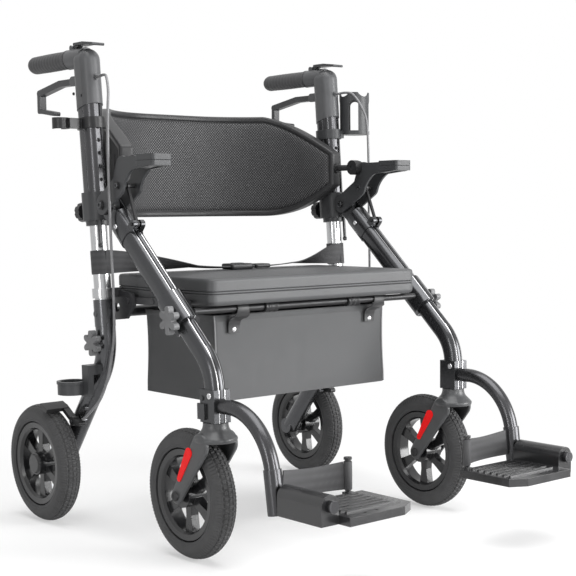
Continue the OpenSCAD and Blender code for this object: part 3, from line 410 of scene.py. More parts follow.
def settle(piece):
    """The piece's modifiers become its mesh."""
    shape = piece.evaluated_get(bpy.context.evaluated_depsgraph_get())
    mesh = bpy.data.meshes.new_from_object(shape)
    piece.modifiers.clear()
    piece.data = mesh
    return piece


def capped(grid):
    """The grid with its first and last rings drawn in to their middles, so that both ends close."""
    return np.concatenate([grid[:1] * 0 + grid[:1].mean(1, keepdims=True), grid,
                           grid[-1:] * 0 + grid[-1:].mean(1, keepdims=True)])


def mirrored(grid, side):
    """The left side's grid, or its mirror image in X for the right side."""
    return grid * (1.0 if side == "l" else -1.0, 1.0, 1.0)


def through(points, steps):
    """A smooth line through points: each stretch is the cubic that Catmull and Rom's rule gives its four neighbours."""
    p = np.asarray(points, float)
    p = np.concatenate([p[:1], p, p[-1:]])
    a, b, c, d = p[:-3, None], p[1:-2, None], p[2:-1, None], p[3:, None]
    t = np.arange(steps)[None, :, None] / steps
    line = 0.5 * (2 * b + (c - a) * t + (2 * a - 5 * b + 4 * c - d) * t ** 2 + (3 * b - a - 3 * c + d) * t ** 3)
    return np.concatenate([line.reshape(-1, 3), p[-1:]])


def carried(path, profile, up):
    """A profile carried along a path: its first measure goes to the side, square to the path and to up, its second
    along the lift between them."""
    run = np.gradient(path, axis=0)
    run /= np.linalg.norm(run, axis=1, keepdims=True)
    side = np.cross(run, np.broadcast_to(np.asarray(up, float), run.shape))
    side /= np.linalg.norm(side, axis=1, keepdims=True)
    lift = np.cross(side, run)
    profile = np.broadcast_to(profile, (len(path),) + profile.shape[-2:])
    return path[:, None] + profile[..., :1] * side[:, None] + profile[..., 1:] * lift[:, None]


def round_profile(radius, count):
    """Points of a circle about the path."""
    a = np.linspace(0, 2 * np.pi, count, endpoint=False)
    return radius * np.stack([np.cos(a), np.sin(a)], 1)


def band_profile(half, thickness, count=7):
    """A flat band's sections for half widths along its path: a long rectangle whose ends are half circles, with the
    thickness to the side and the width along the lift."""
    half = np.atleast_1d(np.asarray(half, float))[:, None]
    a, r = np.linspace(0, np.pi, count)[None], thickness / 2
    edge = np.stack([r * np.cos(a) + 0 * half, half - r + r * np.sin(a)], 2)
    return np.concatenate([edge, -edge], 1)


def lathed(profile, centre, axis, count, turn=0.0):
    """A profile of (along, radius) pairs turned about an axis through the centre."""
    axis = np.asarray(axis, float) / np.linalg.norm(axis)
    side = np.cross(axis, (0.0, 0.0, 1.0) if abs(axis[2]) < 0.9 else (1.0, 0.0, 0.0))
    side /= np.linalg.norm(side)
    a = np.linspace(0, 2 * np.pi, count, endpoint=False) + turn
    ring = np.cos(a)[:, None] * side + np.sin(a)[:, None] * np.cross(axis, side)
    p = np.asarray(profile, float)
    return np.asarray(centre, float) + p[:, None, :1] * axis + p[:, None, 1:] * ring


def on_upright(points):
    """Points given across, fore and aft, and along an upright: turned back by its lean, then set on its foot."""
    x, v, w = np.moveaxis(np.asarray(points, float), -1, 0)
    return np.stack([x + SIDE_X, UPRIGHT_FOOT[0] + v * math.cos(LEAN) + w * math.sin(LEAN),
                     UPRIGHT_FOOT[1] - v * math.sin(LEAN) + w * math.cos(LEAN)], -1)


# ---- camera and light ----
def photo_camera():
    """Stands where the photograph was taken from; the shift gives its framing."""
    back = np.array((-0.67002, -0.73119, 0.12818))
    level = np.array((0.73119, -0.67002, 0.0)) / math.hypot(0.73119, 0.67002)
    rise, roll = np.cross(back, level), math.radians(0.402)
    right = math.cos(roll) * level - math.sin(roll) * rise
    up = math.sin(roll) * level + math.cos(roll) * rise
    camera = bpy.data.objects.new("photo_camera", bpy.data.cameras.new("photo_camera"))
    camera.data.lens, camera.data.sensor_width = 80.31, 36.0
    camera.data.shift_x, camera.data.shift_y = -0.1386, 0.1504
    camera.matrix_world = Matrix(np.column_stack([right, up, back]).tolist()).to_4x4()
    camera.location = (-1.54289, -1.90457, 0.60450)
    bpy.context.scene.collection.objects.link(camera)
    bpy.context.scene.camera = camera


def softbox(name, place, aim, size, watts):
    """A soft rectangular lamp that looks from its place to its aim."""
    lamp = bpy.data.lights.new(name, "AREA")
    lamp.shape, lamp.size, lamp.size_y, lamp.energy = "RECTANGLE", size[0], size[1], watts
    box = bpy.data.objects.new(name, lamp)
    box.location = place
    box.rotation_euler = (Vector(aim) - Vector(place)).to_track_quat("-Z", "Y").to_euler()
    bpy.context.scene.collection.objects.link(box)


def white_room():
    """A world that is white to the camera and in gloss, and dimmer as light; a floor that is white with soft shade."""
    world = bpy.data.worlds.new("white_room")
    bpy.context.scene.world = world
    world.use_nodes = True
    tree = world.node_tree
    path, background = tree.nodes.new("ShaderNodeLightPath"), tree.nodes["Background"]
    seen = tree.nodes.new("ShaderNodeMath")
    seen.operation = "MAXIMUM"
    tree.links.new(path.outputs["Is Camera Ray"], seen.inputs[0])
    glossy = tree.nodes.new("ShaderNodeMath")
    glossy.operation = "MAXIMUM"
    tree.links.new(path.outputs["Is Glossy Ray"], glossy.inputs[0])
    tree.links.new(path.outputs["Is Transmission Ray"], glossy.inputs[1])
    tree.links.new(glossy.outputs[0], seen.inputs[1])
    level = tree.nodes.new("ShaderNodeMapRange")
    level.inputs[3].default_value, level.inputs[4].default_value = 0.20, 1.0
    tree.links.new(seen.outputs[0], level.inputs[0])
    tree.links.new(level.outputs[0], background.inputs["Strength"])
    background.inputs["Color"].default_value = (1, 1, 1, 1)

    mesh = bpy.data.meshes.new("floor")
    mesh.from_pydata([(-9, -9, -0.0006), (9, -9, -0.0006), (9, 9, -0.0006), (-9, 9, -0.0006)], [], [(0, 1, 2, 3)])
    floor = bpy.data.objects.new("floor", mesh)
    bpy.context.scene.collection.objects.link(floor)
    pale = Finish("pale_floor", (0.93, 0.93, 0.93), 0.9)
    out = pale.tree.nodes["Material Output"]
    glow = pale.add("ShaderNodeEmission", {}, {"Color": (1, 1, 1, 1), "Strength": 1.0})
    light = pale.add("ShaderNodeLightPath", {}, {}, "Is Camera Ray")
    gloss = pale.add("ShaderNodeLightPath", {}, {}, "Is Glossy Ray")
    through_glass = pale.add("ShaderNodeLightPath", {}, {}, "Is Transmission Ray")
    away = pale.add("ShaderNodeVectorMath", {"operation": "LENGTH"}, {0: pale.where()}, "Value")
    white = pale.add("ShaderNodeMapRange", {"interpolation_type": "SMOOTHSTEP"},
                     {0: away, 1: 0.40, 2: 1.25, 3: 0.42, 4: 1.0})
    share = light.maths("MAXIMUM", light, gloss.maths("MAXIMUM", gloss, through_glass)) * white
    both = pale.add("ShaderNodeMixShader", {}, {0: share, 2: glow})
    pale.tree.links.new(pale.shader.outputs[0], both.socket.node.inputs[1])
    pale.tree.links.new(both.socket, out.inputs["Surface"])
    mesh.materials.append(pale.material)


photo_camera()
white_room()
softbox("front_softbox", (1.7, -2.15, 0.7), (0.0, -0.05, 0.45), (1.6, 1.7), 112.0)
softbox("front_strip", (-0.3, -2.7, 0.8), (0.0, 0.0, 0.45), (0.35, 1.7), 34.0)
softbox("side_strip", (-2.5, -0.75, 0.7), (0.0, 0.0, 0.5), (0.22, 1.6), 16.0)
softbox("top_softbox", (-0.1, -0.3, 2.7), (0.0, 0.0, 0.4), (2.4, 2.4), 78.0)
bpy.context.scene.view_settings.view_transform = "Standard"


# ---- tyres ----
def tyre(name, centre, body, node):
    """A ring whose section is a circle: blocks in three rows are left by grooves round it and cuts across it, ribs
    stand on the shoulders, and a bead closes it on the rim. Round the wheel is one angle, round the section another."""
    fine = np.arange(-44.0, 44.1, 2.0)
    side = np.array([50, 56, 62, 68, 72, 75, 78, 82, 88, 94, 98, 101, 104, 107, 111, 117.0])
    phi = np.radians(np.concatenate([-side[::-1], fine, side]))
    n = 432
    theta = np.arange(n) * 2 * np.pi / n
    a, x = TYRE_W / 2, TYRE_W / 2 * np.sin(phi)
    groove = np.clip(1.6 - np.abs(np.abs(np.abs(x) - 8.0) - 4.0), 0, 1) * (np.abs(x) < 14)
    row = np.where(np.abs(x) < 4, 0, np.where(np.abs(x) < 12, 3, 0))
    step = (np.arange(n)[:, None] + row[None] + (x[None] > 4) * 1) % 6
    cut = (step < 2) * (np.abs(x)[None] < 13.4)
    rib = ((np.arange(n)[:, None] // 2) % 2 == 0) * np.clip((np.abs(x) - 14.2) / 0.6, 0, 1)[None] \
        * np.clip((21.2 - np.abs(x)) / 1.2, 0, 1)[None] * (np.abs(phi) < 1.4)[None]
    ring = np.exp(-((np.abs(np.degrees(phi)) - 101) / 3.0) ** 2)[None] * 0.7
    depth = np.maximum(groove[None] * 2.0, cut * 1.7) + rib * 0.9 - ring
    r = WHEEL_R - a + (a - depth) * np.cos(phi)[None]
    across = (a - depth) * np.sin(phi)[None]
    grid = np.stack([across + 0 * theta[:, None], r * np.cos(theta)[:, None], r * np.sin(theta)[:, None]], 2)
    piece = surface(name, grid + centre, rubber, body, True, True, sharp=35.0)
    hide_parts(node)
    return piece


for side, sign in SIGN.items():
    tyre("front_tread_" + side, (sign * SIDE_X, FRONT_HUB[0], FRONT_HUB[1]), "front_wheel_" + side,
         "front_tyre_" + side)
    tyre("rear_tread_" + side, (sign * REAR_X, 0.0, WHEEL_R), "rear_wheel_" + side, "rear_tyre_" + side)


# ---- seat ----
def rounded_ring(count, half, front, rear, radius):
    """A rectangle with round corners, cut into equal lengths: four quarter circles joined by straights."""
    a = np.linspace(0, 2 * np.pi, 97)
    quarter = np.minimum((a / (np.pi / 2)).astype(int), 3)
    x = np.where((quarter == 0) | (quarter == 3), 1, -1) * (half - radius) + radius * np.cos(a)
    y = np.where(quarter < 2, rear - radius, front + radius) + radius * np.sin(a)
    length = np.concatenate([[0], np.cumsum(np.hypot(np.diff(x), np.diff(y)))])
    at = np.linspace(0, length[-1], count, endpoint=False)
    return np.stack([np.interp(at, length, x), np.interp(at, length, y)], 1)


def seat_cover():
    """Rings of a rounded rectangle laid one over another: a flat base, a wall that pulls in at the moulded line, a
    tight upper edge and an almost flat top. Each ring has an inset and a height as a share of the thickness."""
    table = np.array([[150, 0], [60, 0], [14, 0], [6, 0.005], [3, 0.03], [1.2, 0.08], [0.3, 0.14], [0, 0.18],
                      [0, 0.20], [0, 0.41], [0, 0.425], [0.3, 0.432], [1.8, 0.44], [2.2, 0.45], [1.8, 0.46],
                      [0.5, 0.468], [0.2, 0.475], [0.2, 0.525], [0.5, 0.532], [1.8, 0.54], [2.2, 0.55],
                      [1.8, 0.56], [0.3, 0.568], [0, 0.575], [0, 0.59], [0, 0.89], [0, 0.91], [0.3, 0.95], [0.9, 0.995],
                      [2.0, 1.022], [3.6, 1.037], [6, 1.044], [14, 1.054], [26, 1.062], [40, 1.07], [60, 1.078],
                      [80, 1.085], [100, 1.088], [120, 1.09], [138, 1.091], [150, 1.092]])
    rings = [np.column_stack([rounded_ring(280, SEAT_HALF - i, SEAT_FRONT + i, SEAT_FRONT + SEAT_L - i,
                                           max(13 - 0.1 * i, 2.0)), np.full(280, SEAT_LOW + h * SEAT_T)])
             for i, h in table]
    piece = surface("seat_cover", capped(np.array(rings)), seat_cloth, "seat", sharp=70.0)
    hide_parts("seat_pad")
    return piece


seat_cover()


# ---- backrest ----
def bow(s):
    """The backrest's middle line seen from above: a flat, then a round turn, then a straight to each end."""
    t, q = np.abs(s), np.sign(s)
    a = np.clip((t - BACK_FLAT) / BACK_R, 0, BACK_TURN)
    tail = np.maximum(t - BACK_S + BACK_TAIL, 0)
    return (q * (np.minimum(t, BACK_FLAT) + BACK_R * np.sin(a) + tail * np.cos(a)),
            BACK_Y - BACK_R * (1 - np.cos(a)) - tail * np.sin(a), q * a)


def back_edge(s, upper):
    """How far the backrest's edge lies from its rods' height: full in the middle, then the upper edge falls and the
    lower one rises to the ends, each by its own power."""
    t = np.clip((np.abs(s) - BACK_FULL) / (BACK_S - BACK_FULL), 0, 1)
    return np.where(upper, 112.0 - 80.0 * t ** 1.35, 99.0 - 63.0 * t ** 1.9)


def back_ring(inset, share, out, count=150, ends=14):
    """One ring of the backrest at an inset from its outline: along the top, down one end, back along the bottom and
    up the other end. The share draws the ring in to the middle line, and out is how far it stands off the bow."""
    across = np.linspace(-1, 1, count)
    down = np.linspace(1, -1, ends)[1:-1]
    sigma = np.concatenate([across, np.ones(ends - 2), across[::-1], -np.ones(ends - 2)])
    omega = np.concatenate([np.ones(count), down, -np.ones(count), down[::-1]])
    s = sigma * (BACK_S - inset)
    w = omega * np.maximum(back_edge(s, omega > 0) - inset, 0.5) * share
    x, y, a = bow(s)
    return np.stack([x + out * np.sin(a), y + out * np.cos(a), BACK_Z + w], 1), np.stack([s, w], 1)


def back_pad():
    """Rings from the middle of the back, over the rim and on to the middle of the front: a stiff rim all round, a
    seam groove inside it, and a padded mesh panel that swells from the groove."""
    inner = [(29, f, 13.3 + 1.2 * (1 - f * f)) for f in (0.0, 0.25, 0.5, 0.75, 1.0)]
    back = inner + [(16, 1, 13.0), (13, 1, 12.2), (11.5, 1, 12.2), (9, 1, 13.0), (4, 1, 12.9), (1.6, 1, 12.2),
                    (0.4, 1, 10.5), (0, 1, 8)]
    front = [(0, 1, -8), (0.4, 1, -10.8), (1.6, 1, -12.5), (4, 1, -13.2), (8.5, 1, -13.2), (10.4, 1, -12.6),
             (11.4, 1, -10.6), (12.6, 1, -9.9), (13.8, 1, -10.6), (15.4, 1, -12.1), (18, 1, -13.2), (22, 1, -14.0),
             (29, 1, -14.6)] + [(29, f, -14.6 - 1.6 * (1 - f * f)) for f in (0.92, 0.8, 0.6, 0.4, 0.2, 0.0)]
    rings, cuts = zip(*[back_ring(*r) for r in back + front])
    cuts = np.array(cuts)
    cuts = np.concatenate([cuts, cuts[:, :1]], 1)
    bands = np.array([2] * 6 + [1] * (len(back) - 6 + 8) + [0] * (len(front) - 8 - 1))
    piece = surface("back_pad", np.array(rings), [back_mesh, back_rim, back_cloth], "backrest", uv=cuts,
                    bands=bands, sharp=70.0)
    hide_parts("backrest")
    return piece


back_pad()


# ---- storage bag ----
def bag_shell():
    """A rounded rectangle carried down from the rim: its walls draw in between their corners and swell low down, and
    the base sags a little."""
    n = 320
    share = np.concatenate([[0, 0.012, 0.03, 0.06, 0.072, 0.085], np.linspace(0.12, 0.96, 26), [0.985, 0.996, 1.0]])
    rings = []
    for f in share:
        plan = rounded_ring(n, BAG_HALF, BAG_FRONT, BAG_REAR, 5.0)
        x, y = plan[:, 0] / BAG_HALF, (plan[:, 1] - BAG_FRONT) / (BAG_REAR - BAG_FRONT) * 2 - 1
        waist = math.sin(math.pi * min(f * 1.15, 1.0))
        x = x * (BAG_HALF - 2.5 - 4.5 * waist * (1 - 0.5 * y * y) + 2.0 * f * f)
        draw = 3.0 * waist * (1 - np.clip(np.abs(x) / BAG_HALF, 0, 1) ** 2)
        hem = 0.9 if f < 0.065 else 0.0
        y = (BAG_FRONT + BAG_REAR) / 2 + y * ((BAG_REAR - BAG_FRONT) / 2 - 2.0 - draw + hem)
        rings.append(np.stack([x + hem * np.sign(x) * (np.abs(x) > BAG_HALF - 12), y,
                               np.full(n, BAG_TOP - f * (BAG_TOP - BAG_LOW))], 1))
    middle = np.array([0.0, (BAG_FRONT + BAG_REAR) / 2, 0.0])
    for f in (0.985, 0.9, 0.7, 0.45, 0.2, 0.0):
        base = (rings[len(share) - 1] - middle) * (f, f, 1) + middle
        base[:, 2] = BAG_LOW - 0.6 + 1.5 * (1 - f * f)
        rings.append(base)
    grid = np.array(rings)
    girth = np.broadcast_to(np.linspace(0, 1270, n + 1), (len(grid), n + 1))
    fall = np.concatenate([share * (BAG_TOP - BAG_LOW), 160 + 100 * np.arange(1, 7) / 6])
    cut = np.stack([girth, np.broadcast_to(fall[:, None], girth.shape)], 2)
    piece = surface("bag_shell", grid, bag_cloth, None, uv=cut, sharp=60.0)
    wall = piece.modifiers.new("cloth", "SOLIDIFY")
    wall.thickness, wall.offset = 0.0018, -1.0
    return settle(piece)


def bag_corner(side):
    """Piping down a front corner: a thin round cord along the corner's line, coloured lighter than the bag as a painted
    highlight on the corner.
    """
    z = np.linspace(BAG_TOP - 1, BAG_LOW + 1, 40)
    f = (BAG_TOP - z) / (BAG_TOP - BAG_LOW)
    x = BAG_HALF - 3.4 - 2.2 * np.sin(np.pi * np.minimum(f * 1.15, 1)) + 2 * f * f
    path = np.stack([x, np.full(40, BAG_FRONT + 2.6), z], 1)
    grid = capped(carried(path, round_profile(1.5, 10), (0, 1, 0)))
    cut = np.stack(np.broadcast_arrays(np.linspace(0, 9, 11)[None], np.linspace(0, 160, 42)[:, None]), 2)
    return surface("bag_piping_painted_highlight_" + side, mirrored(grid, side), bag_piping_painted_highlight, None, uv=cut)


def bag_hook(side, x):
    """A tab that wraps the front rod, flares below it, and lies down the bag's front to its rivet."""
    a = np.radians(np.linspace(-55, 178, 22))
    over = np.stack([ROD[0] + 7.9 * np.cos(a), ROD[1] + 7.9 * np.sin(a)], 1)
    down = np.array([[-429.6, 424], [-426.5, 417.5], [-416, 412.5], [-406.5, 409], [-402.2, 404], [-400.6, 397],
                     [-400.4, 390], [-400.4, 384]])
    line = np.concatenate([over, down])
    path = np.concatenate([np.full((len(line), 1), x), line], 1)
    length = np.concatenate([[0], np.cumsum(np.linalg.norm(np.diff(line, axis=0), axis=1))])
    half = np.interp(length, [0, 36, 50, 62, 68, 95], [12.5, 12.5, 19, 18, 13.5, 12.5])
    grid = capped(carried(path, band_profile(half, 1.7), (1, 0, 0)))
    cut = np.stack(np.broadcast_arrays(np.linspace(0, 60, 15)[None], np.concatenate([[0], length, [100]])[:, None]), 2)
    return surface("bag_hook_" + side, mirrored(grid, side), hook_plastic, None, uv=cut)


def rivet(name, centre, axis, radius, finish, body, height=None):
    """A domed head with a rolled edge: a profile turned about the rivet's axis."""
    h = height or radius * 0.5
    profile = [(-0.5, 0), (-0.5, radius * 0.8), (-0.5, radius), (0.15 * h, radius * 1.02), (0.45 * h, radius * 0.93),
               (0.78 * h, radius * 0.68), (0.95 * h, radius * 0.36), (h, 0)]
    return surface(name, lathed(profile, centre, axis, 28), finish, body, sharp=60.0)


def storage_bag():
    pieces = [bag_shell()]
    for side in SIGN:
        q = SIGN[side]
        pieces += [bag_corner(side), bag_hook(side, HOOK_X),
                   rivet("hook_rivet_" + side, (q * HOOK_X, -401.1, 391.0), (0, -1, 0), 5.0, bright_steel, None)]
    piece = join("storage_bag", pieces, "rear_frame")
    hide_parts("bag")
    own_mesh(piece)
    return piece


storage_bag()


# ---- lap belt ----
def belt_path(t):
    """The belt's middle line from the upright to the buckle: straight inwards, with a bow to the front and an S-shaped
    fall to the seat."""
    e = t * t * (3 - 2 * t)
    start = on_upright([0.0, -BELT_R, BELT_W])
    return np.stack([SIDE_X - t * (SIDE_X - BELT_IN),
                     start[1] + (BUCKLE_Y - start[1]) * e - 14 * np.sin(np.pi * t) ** 2,
                     start[2] - (start[2] - SEAT_LOW - SEAT_T - 9) * e], 1)


def webbing(name, path, wide, thick, half):
    """A woven band along a path: its flat sections stand along the wide and thick directions."""
    flat = band_profile(half, 2.0)
    grid = capped(path[:, None] + flat[..., 1:] * wide[:, None] + flat[..., :1] * thick[:, None])
    length = np.cumsum(np.linalg.norm(np.diff(path, axis=0, prepend=path[:1]), axis=1))
    rows = np.concatenate([[-2], length, [length[-1] + 2]])
    cut = np.stack(np.broadcast_arrays(np.linspace(0, 88, 15)[None], rows[:, None]), 2)
    piece = surface(name, mirrored(grid, name[-1]), belt_web, "rear_frame", uv=cut)
    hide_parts("belts")
    return piece


def lap_belt(side):
    """A loop round the upright, and a band that leaves it on edge and turns flat as it comes to the seat."""
    a = np.radians(np.linspace(220, -90, 64))
    ring = np.stack([BELT_R * np.cos(a), BELT_R * np.sin(a), np.full(64, BELT_W)], 1)
    axis = np.array([0.0, math.sin(LEAN), math.cos(LEAN)])
    inward = on_upright(np.array([0.0, 0.0, BELT_W])) - on_upright(ring)
    webbing("belt_loop_" + side, on_upright(ring), np.tile(axis, (64, 1)), inward / BELT_R, np.full(64, 22.0))
    t = np.linspace(0, 1, 70)
    twist, none = np.radians(84 * np.minimum(1, 1.5 * t)), np.zeros(70)
    band = webbing("belt_band_" + side, belt_path(t), np.stack([none, -np.sin(twist), np.cos(twist)], 1),
                   np.stack([none, np.cos(twist), np.sin(twist)], 1), 22 - 8 * t)
    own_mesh(band)


for side in SIGN:
    lap_belt(side)


def buckle_body(name, x0, x1, half, low, high, edge, finish):
    """A pillow-like block: rings of a rounded rectangle that draw in at its lower and upper edges."""
    y = BUCKLE_Y
    rows = [(half * 0.9, low), (0.6 * edge, low), (0, low + edge), (0, high - edge),
            (0.3 * edge, high - 0.3 * edge), (edge, high), (half * 0.9, high + 0.4)]
    rings = []
    for inset, z in rows:
        k = min(inset, (x1 - x0) / 2 - 0.6)
        corner = max(min(5.0, half - inset) - 0.1, 0.3) if inset < 4 else 0.3
        ring = rounded_ring(96, (x1 - x0) / 2 - k, y - half + inset, y + half - inset, corner)
        rings.append(np.column_stack([ring[:, 0] + (x0 + x1) / 2, ring[:, 1], np.full(96, z)]))
    return surface(name, capped(np.array(rings)), finish, None)


def belt_buckle():
    low = SEAT_LOW + 1.092 * SEAT_T + 0.6
    pieces = [buckle_body("buckle_socket", -49, 4, 19, low, low + 11, 2.4, black_plastic),
              buckle_body("buckle_tongue", 12, 49, 16, low + 1, low + 9, 2.0, black_plastic),
              buckle_body("buckle_prongs", 3, 14, 12, low + 3, low + 7.5, 1.4, dark_plastic),
              buckle_body("buckle_button", -36, -10, 9, low + 9, low + 12.2, 1.5, dark_plastic)]
    piece = join("belt_buckle", pieces, "rear_frame")
    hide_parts("buckle")
    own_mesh(piece)
    return piece


belt_buckle()


# ---- heel straps ----
def heel_strap(side):
    """A band on an arc of a circle in plan, from the plate's post to the hanger, with a loop round the post."""
    a, b, r = np.array([145.0, -683.0]), np.array([270.0, -665.9]), 190.0
    mid, span = (a + b) / 2, np.linalg.norm(b - a)
    normal = np.array([-(b - a)[1], (b - a)[0]]) / span
    centre = mid - normal * math.sqrt(r * r - span * span / 4)
    start, stop = (math.atan2(*(p - centre)[::-1]) for p in (a, b))
    t = np.linspace(start - 0.033, stop - 0.005, 48)
    line = centre + r * np.stack([np.cos(t), np.sin(t)], 1)
    f = np.linspace(0, 1, 48)
    height = 163.0 - 3.0 * np.sin(np.pi * f)
    path = np.concatenate([line, height[:, None]], 1)
    profile = band_profile(24 - 2.0 * np.sin(np.pi * f), 2.4)
    cut = np.stack(np.broadcast_arrays(np.linspace(0, 96, 15)[None], np.linspace(0, 130, 50)[:, None]), 2)
    grid = capped(carried(path, profile, (0, 0, 1)))
    band = surface("strap_band_" + side, mirrored(grid, side), strap_web, None, uv=cut)
    ring = np.array([(139, 5.3), (139, 6.7), (139.8, 7.2), (163, 7.4), (186.2, 7.2), (187, 6.7), (187, 5.3)])
    grid = lathed(np.column_stack([ring[:, 0] - 139, ring[:, 1]]), (a[0], a[1], 139.0), (0, 0, 1), 40)
    cut = np.stack(np.broadcast_arrays(np.linspace(0, 46, 41)[None], np.append(ring[:, 0], 130)[:, None]), 2)
    loop = surface("strap_loop_" + side, mirrored(grid, side), strap_web, None, True, True, uv=cut)
    piece = join("foot_strap_" + side, [band, loop], None)
    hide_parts("heel_strap_" + side)
    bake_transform(piece)
    return piece


for side in SIGN:
    heel_strap(side)


# ---- brake cables ----
CABLE = [(289, -158, 846), (289, -168, 846), (289, -176, 846), (292, -194, 847), (297, -212, 842), (305, -230, 815),
         (312, -238, 780), (315, -239, 700), (315, -239, 610), (315, -240, 530), (314, -241, 450), (314, -239, 390),
         (314, -231, 350), (314, -212, 300), (314, -182, 256), (314, -140, 225), (314, -116.4, 210.8)]


def brake_cable(side):
    """A round sheath along a smooth line, in two lengths that meet where the frame carries it."""
    line = through(CABLE, 9)
    meet = int(np.argmin(np.abs(line[:, 2] - 560)))
    for name, path, carrier, start, end in (
            ("upper", line[:meet + 1], ("rear_frame", "handle_" + side), (0, -239, 640), (0, -239, 760)),
            ("lower", line[meet:], ("rear_frame", "rear_leg_" + side), (0, -241, 470), (0, -236, 370))):
        grid = capped(carried(path, round_profile(2.5, 14), (1, 0, 0)))
        piece = surface("cable_%s_%s" % (name, side), mirrored(grid, side), cable_skin, None)
        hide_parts("cable_" + side)
        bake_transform(piece)


for side in SIGN:
    brake_cable(side)


# ---- hand grips ----
def hand_grip(side):
    """A profile turned about the grip: a flange, shallow waves along the palm, and a round end."""
    y = np.linspace(9, GRIP_L - 20, 110)
    dip = 0.5 - 0.5 * np.cos(2 * np.pi * (y - 9) / ((GRIP_L - 29) / 11))
    wave = GRIP_R - 0.55 * dip ** 3 + 0.5 * np.sin(np.pi * (y - 9) / 116)
    flange = np.array([(0, 8), (0, 17.2), (0.8, 18.0), (5.0, 18.0), (6.2, 17.4), (7.4, 16.7)])
    a = np.linspace(0, np.pi / 2, 14)
    end = np.stack([GRIP_L - 16 + 16 * np.sin(a) ** 1.2, np.maximum(GRIP_R * np.cos(a) ** 0.62, 0)], 1)
    profile = np.concatenate([flange, np.stack([y, np.minimum(wave, 17.0)], 1), end])
    profile = np.concatenate([[[0.0, 0.0]], profile])
    q = SIGN[side]
    grid = lathed(profile, (q * SIDE_X, GRIP_END - GRIP_L, GRIP_Z), (0, 1, 0), 72)
    piece = surface("hand_grip_" + side, grid, grip_skin, "handle_" + side, sharp=70.0)
    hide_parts("grip_" + side)
    return piece


for side in SIGN:
    hand_grip(side)


# ---- fittings ----
def socket_bolt(name, centre, axis, radius, height, finish, body):
    """A cap bolt: a round head with a worked edge and a six-sided socket sunk in it. The profile is turned about its
    axis, and the socket's wall is pushed out to six flats."""
    profile = np.array([(-0.6, 0), (-0.6, radius), (0.1, radius), (height * 0.72, radius),
                        (height * 0.93, radius * 0.93), (height, radius * 0.82), (height, radius * 0.60),
                        (height - 0.15, radius * 0.54), (height * 0.35, radius * 0.54), (height * 0.30, 0)])
    grid = lathed(profile, (0, 0, 0), axis, 36)
    a = np.linspace(0, 2 * np.pi, 36, endpoint=False)
    flats = math.cos(math.pi / 6) / np.cos((a % (np.pi / 3)) - np.pi / 6)
    unit = np.asarray(axis, float) / np.linalg.norm(axis)
    depth = (grid @ unit)[..., None] * unit
    grid[7:9] = depth[7:9] + (grid - depth)[7:9] * flats[None, :, None]
    return surface(name, grid + np.asarray(centre, float), finish, body, sharp=40.0)


def fittings(side):
    q = SIGN[side]
    outer, inner = (q, 0, 0), (-q, 0, 0)

    def both(name, x_out, x_in, y, z, radius, height, finish, body):
        socket_bolt(name + "_out_" + side, (q * x_out, y, z), outer, radius, height, finish, body)
        socket_bolt(name + "_in_" + side, (q * x_in, y, z), inner, radius, height, finish, body)

    both("fold_bolt", SIDE_X + 23, SIDE_X - 23, FOLD[0], FOLD[1], 6.2, 2.6, grey_metal, "front_frame")
    both("arm_bolt", SIDE_X + 23, SIDE_X - 20, -258.0, 648.0, 4.6, 2.2, grey_metal, "front_frame")
    both("caster_bolt", SIDE_X + 17, SIDE_X - 17, -519.0, 296.0, 5.2, 2.4, bright_steel, "front_lower_" + side)
    both("head_bolt", SIDE_X + 19.4, SIDE_X - 19.4, -246.0, 575.0, 4.6, 2.0, bright_steel, "front_frame")
    socket_bolt("housing_bolt_" + side, (q * (SIDE_X + 18.2), -114.0, GRIP_Z - 66), outer, 2.8, 1.7, dark_steel,
                "handle_" + side)


for side in SIGN:
    fittings(side)


# ---- caster forks ----
def fork_hood(side):
    """A bell turned about the caster's stem: a round neck that flares out over the tyre. Its lower edge is level at the
    sides, and is lifted clear of the tyre's top, a circle about the hub, between them."""
    turn = np.linspace(0, 2 * np.pi, 96, endpoint=False)
    fall, radius = np.array([(0.3, 21.5), (5, 21.7), (10, 22.8), (14, 25.0), (18, 28.6), (22, 32.8), (25, 35.8),
                             (27, 36.9), (30, 36.8), (HOOD_FALL, 35.6)]).T
    x, y = HOOD_R * np.cos(turn), STEM_Y + HOOD_R * np.sin(turn)
    tread = FRONT_HUB[1] + np.sqrt((WHEEL_R + 5) ** 2 - (y - FRONT_HUB[0]) ** 2)
    middle = np.clip((31 - np.abs(x)) / 6, 0, 1)
    middle = middle * middle * (3 - 2 * middle)
    depth = np.minimum(HOOD_FALL, HOOD_FALL + middle * (STEM_TOP - tread - HOOD_FALL))
    rows = 0.3 + np.linspace(0, 1, 40)[:, None] * (depth - 0.3)
    bell = np.interp(rows, fall, radius)
    shell = lambda r: np.stack([SIDE_X + r * np.cos(turn), STEM_Y + r * np.sin(turn), STEM_TOP - rows], 2)
    grid = np.concatenate([shell(bell * 0)[:1], shell(bell), shell(bell - 3)[::-1], shell(bell * 0)[:1] - (0, 0, 3)])
    return surface("fork_hood_" + side, mirrored(grid, side), fork_plastic, None, sharp=45.0)


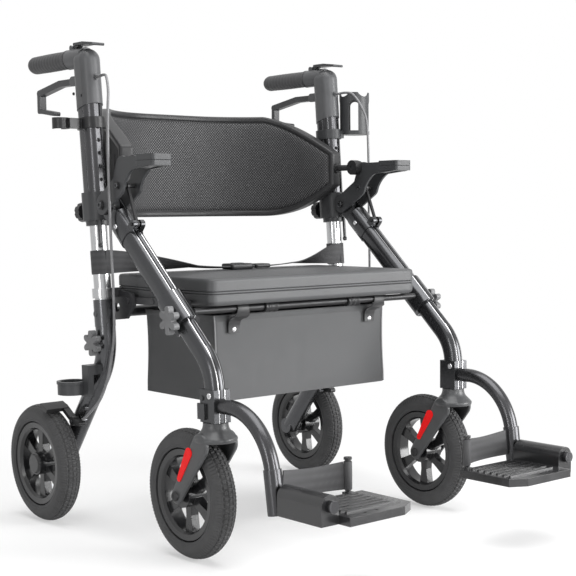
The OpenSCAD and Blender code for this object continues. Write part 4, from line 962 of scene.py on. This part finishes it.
def fork_arm(name, side, x, out):
    """A plate with a round edge: rings of the outline round two circles, a large one under the hood and a small one at
    the axle, that draw in towards the plate's faces. The straights between the arcs touch both circles."""
    a, b = np.array([STEM_Y + 3, STEM_TOP - 38]), np.array(FRONT_HUB)
    axis = math.atan2(*(b - a)[::-1])
    lean = math.acos((ARM_R - ARM_END_R) / np.linalg.norm(b - a))
    big, small = np.linspace(lean, 2 * np.pi - lean, 40) + axis, np.linspace(-lean, lean, 40) + axis
    rings = []
    for inset, depth in ((4.5, 0), (1.6, 0.2), (0.5, 0.9), (0, 2.2), (0, 4.6), (0.6, 6.2), (2.0, 7.2), (5.0, 7.5),
                         (9.0, 7.5)):
        edge = np.concatenate([a + (ARM_R - inset) * np.stack([np.cos(big), np.sin(big)], 1),
                               b + (ARM_END_R - inset) * np.stack([np.cos(small), np.sin(small)], 1)])
        rings.append(np.column_stack([np.full(80, SIDE_X + x + out * depth), edge]))
    return surface(name, mirrored(capped(np.array(rings)), side), fork_plastic, None, sharp=50.0)


def caster_fork(side):
    pieces = [fork_hood(side)]
    for name, out in (("out", 1), ("in", -1)):
        q = out if side == "l" else -out
        hub = (SIDE_X if side == "l" else -SIDE_X, FRONT_HUB[0], FRONT_HUB[1])
        cap = [(34, 0), (34, 8.6), (36.8, 8.6), (37.7, 7.9), (38, 6.8), (38, 4.4), (37, 3.8), (36.8, 0)]
        stub = [(21.5, 0), (21.5, 7.5), (27, 7.5), (27, 0)]
        pieces.append(fork_arm("fork_arm_%s_%s" % (name, side), side, out * 26.5, out))
        for part, profile in (("cap", cap), ("stub", stub)):
            grid = lathed(profile, hub, (q, 0, 0), 32)
            pieces.append(surface("axle_%s_%s_%s" % (part, name, side), grid, dark_steel, None, sharp=40.0))
    piece = join("caster_fork_" + side, pieces, "caster_" + side)
    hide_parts("fork_" + side)
    return piece


for side in SIGN:
    caster_fork(side)


# ---- hinge rings on the front rod ----
def rod_ring(name, x):
    """A grooved collar round the front rod: a profile of three raised bands turned about it."""
    profile = [(-15, 7.0), (-15, 9.0), (-14, 10.4), (-8, 10.4), (-7, 9.6), (-3, 9.6), (-2, 10.2), (2, 10.2), (3, 9.6),
               (7, 9.6), (8, 10.4), (14, 10.4), (15, 9.0), (15, 7.0)]
    grid = lathed(profile, (x, ROD[0], ROD[1]), (1, 0, 0), 48)
    return surface(name, grid, black_plastic, "seat", True, True, sharp=40.0)


for side, q in SIGN.items():
    rod_ring("seat_hinge_ring_" + side, q * 100.0)
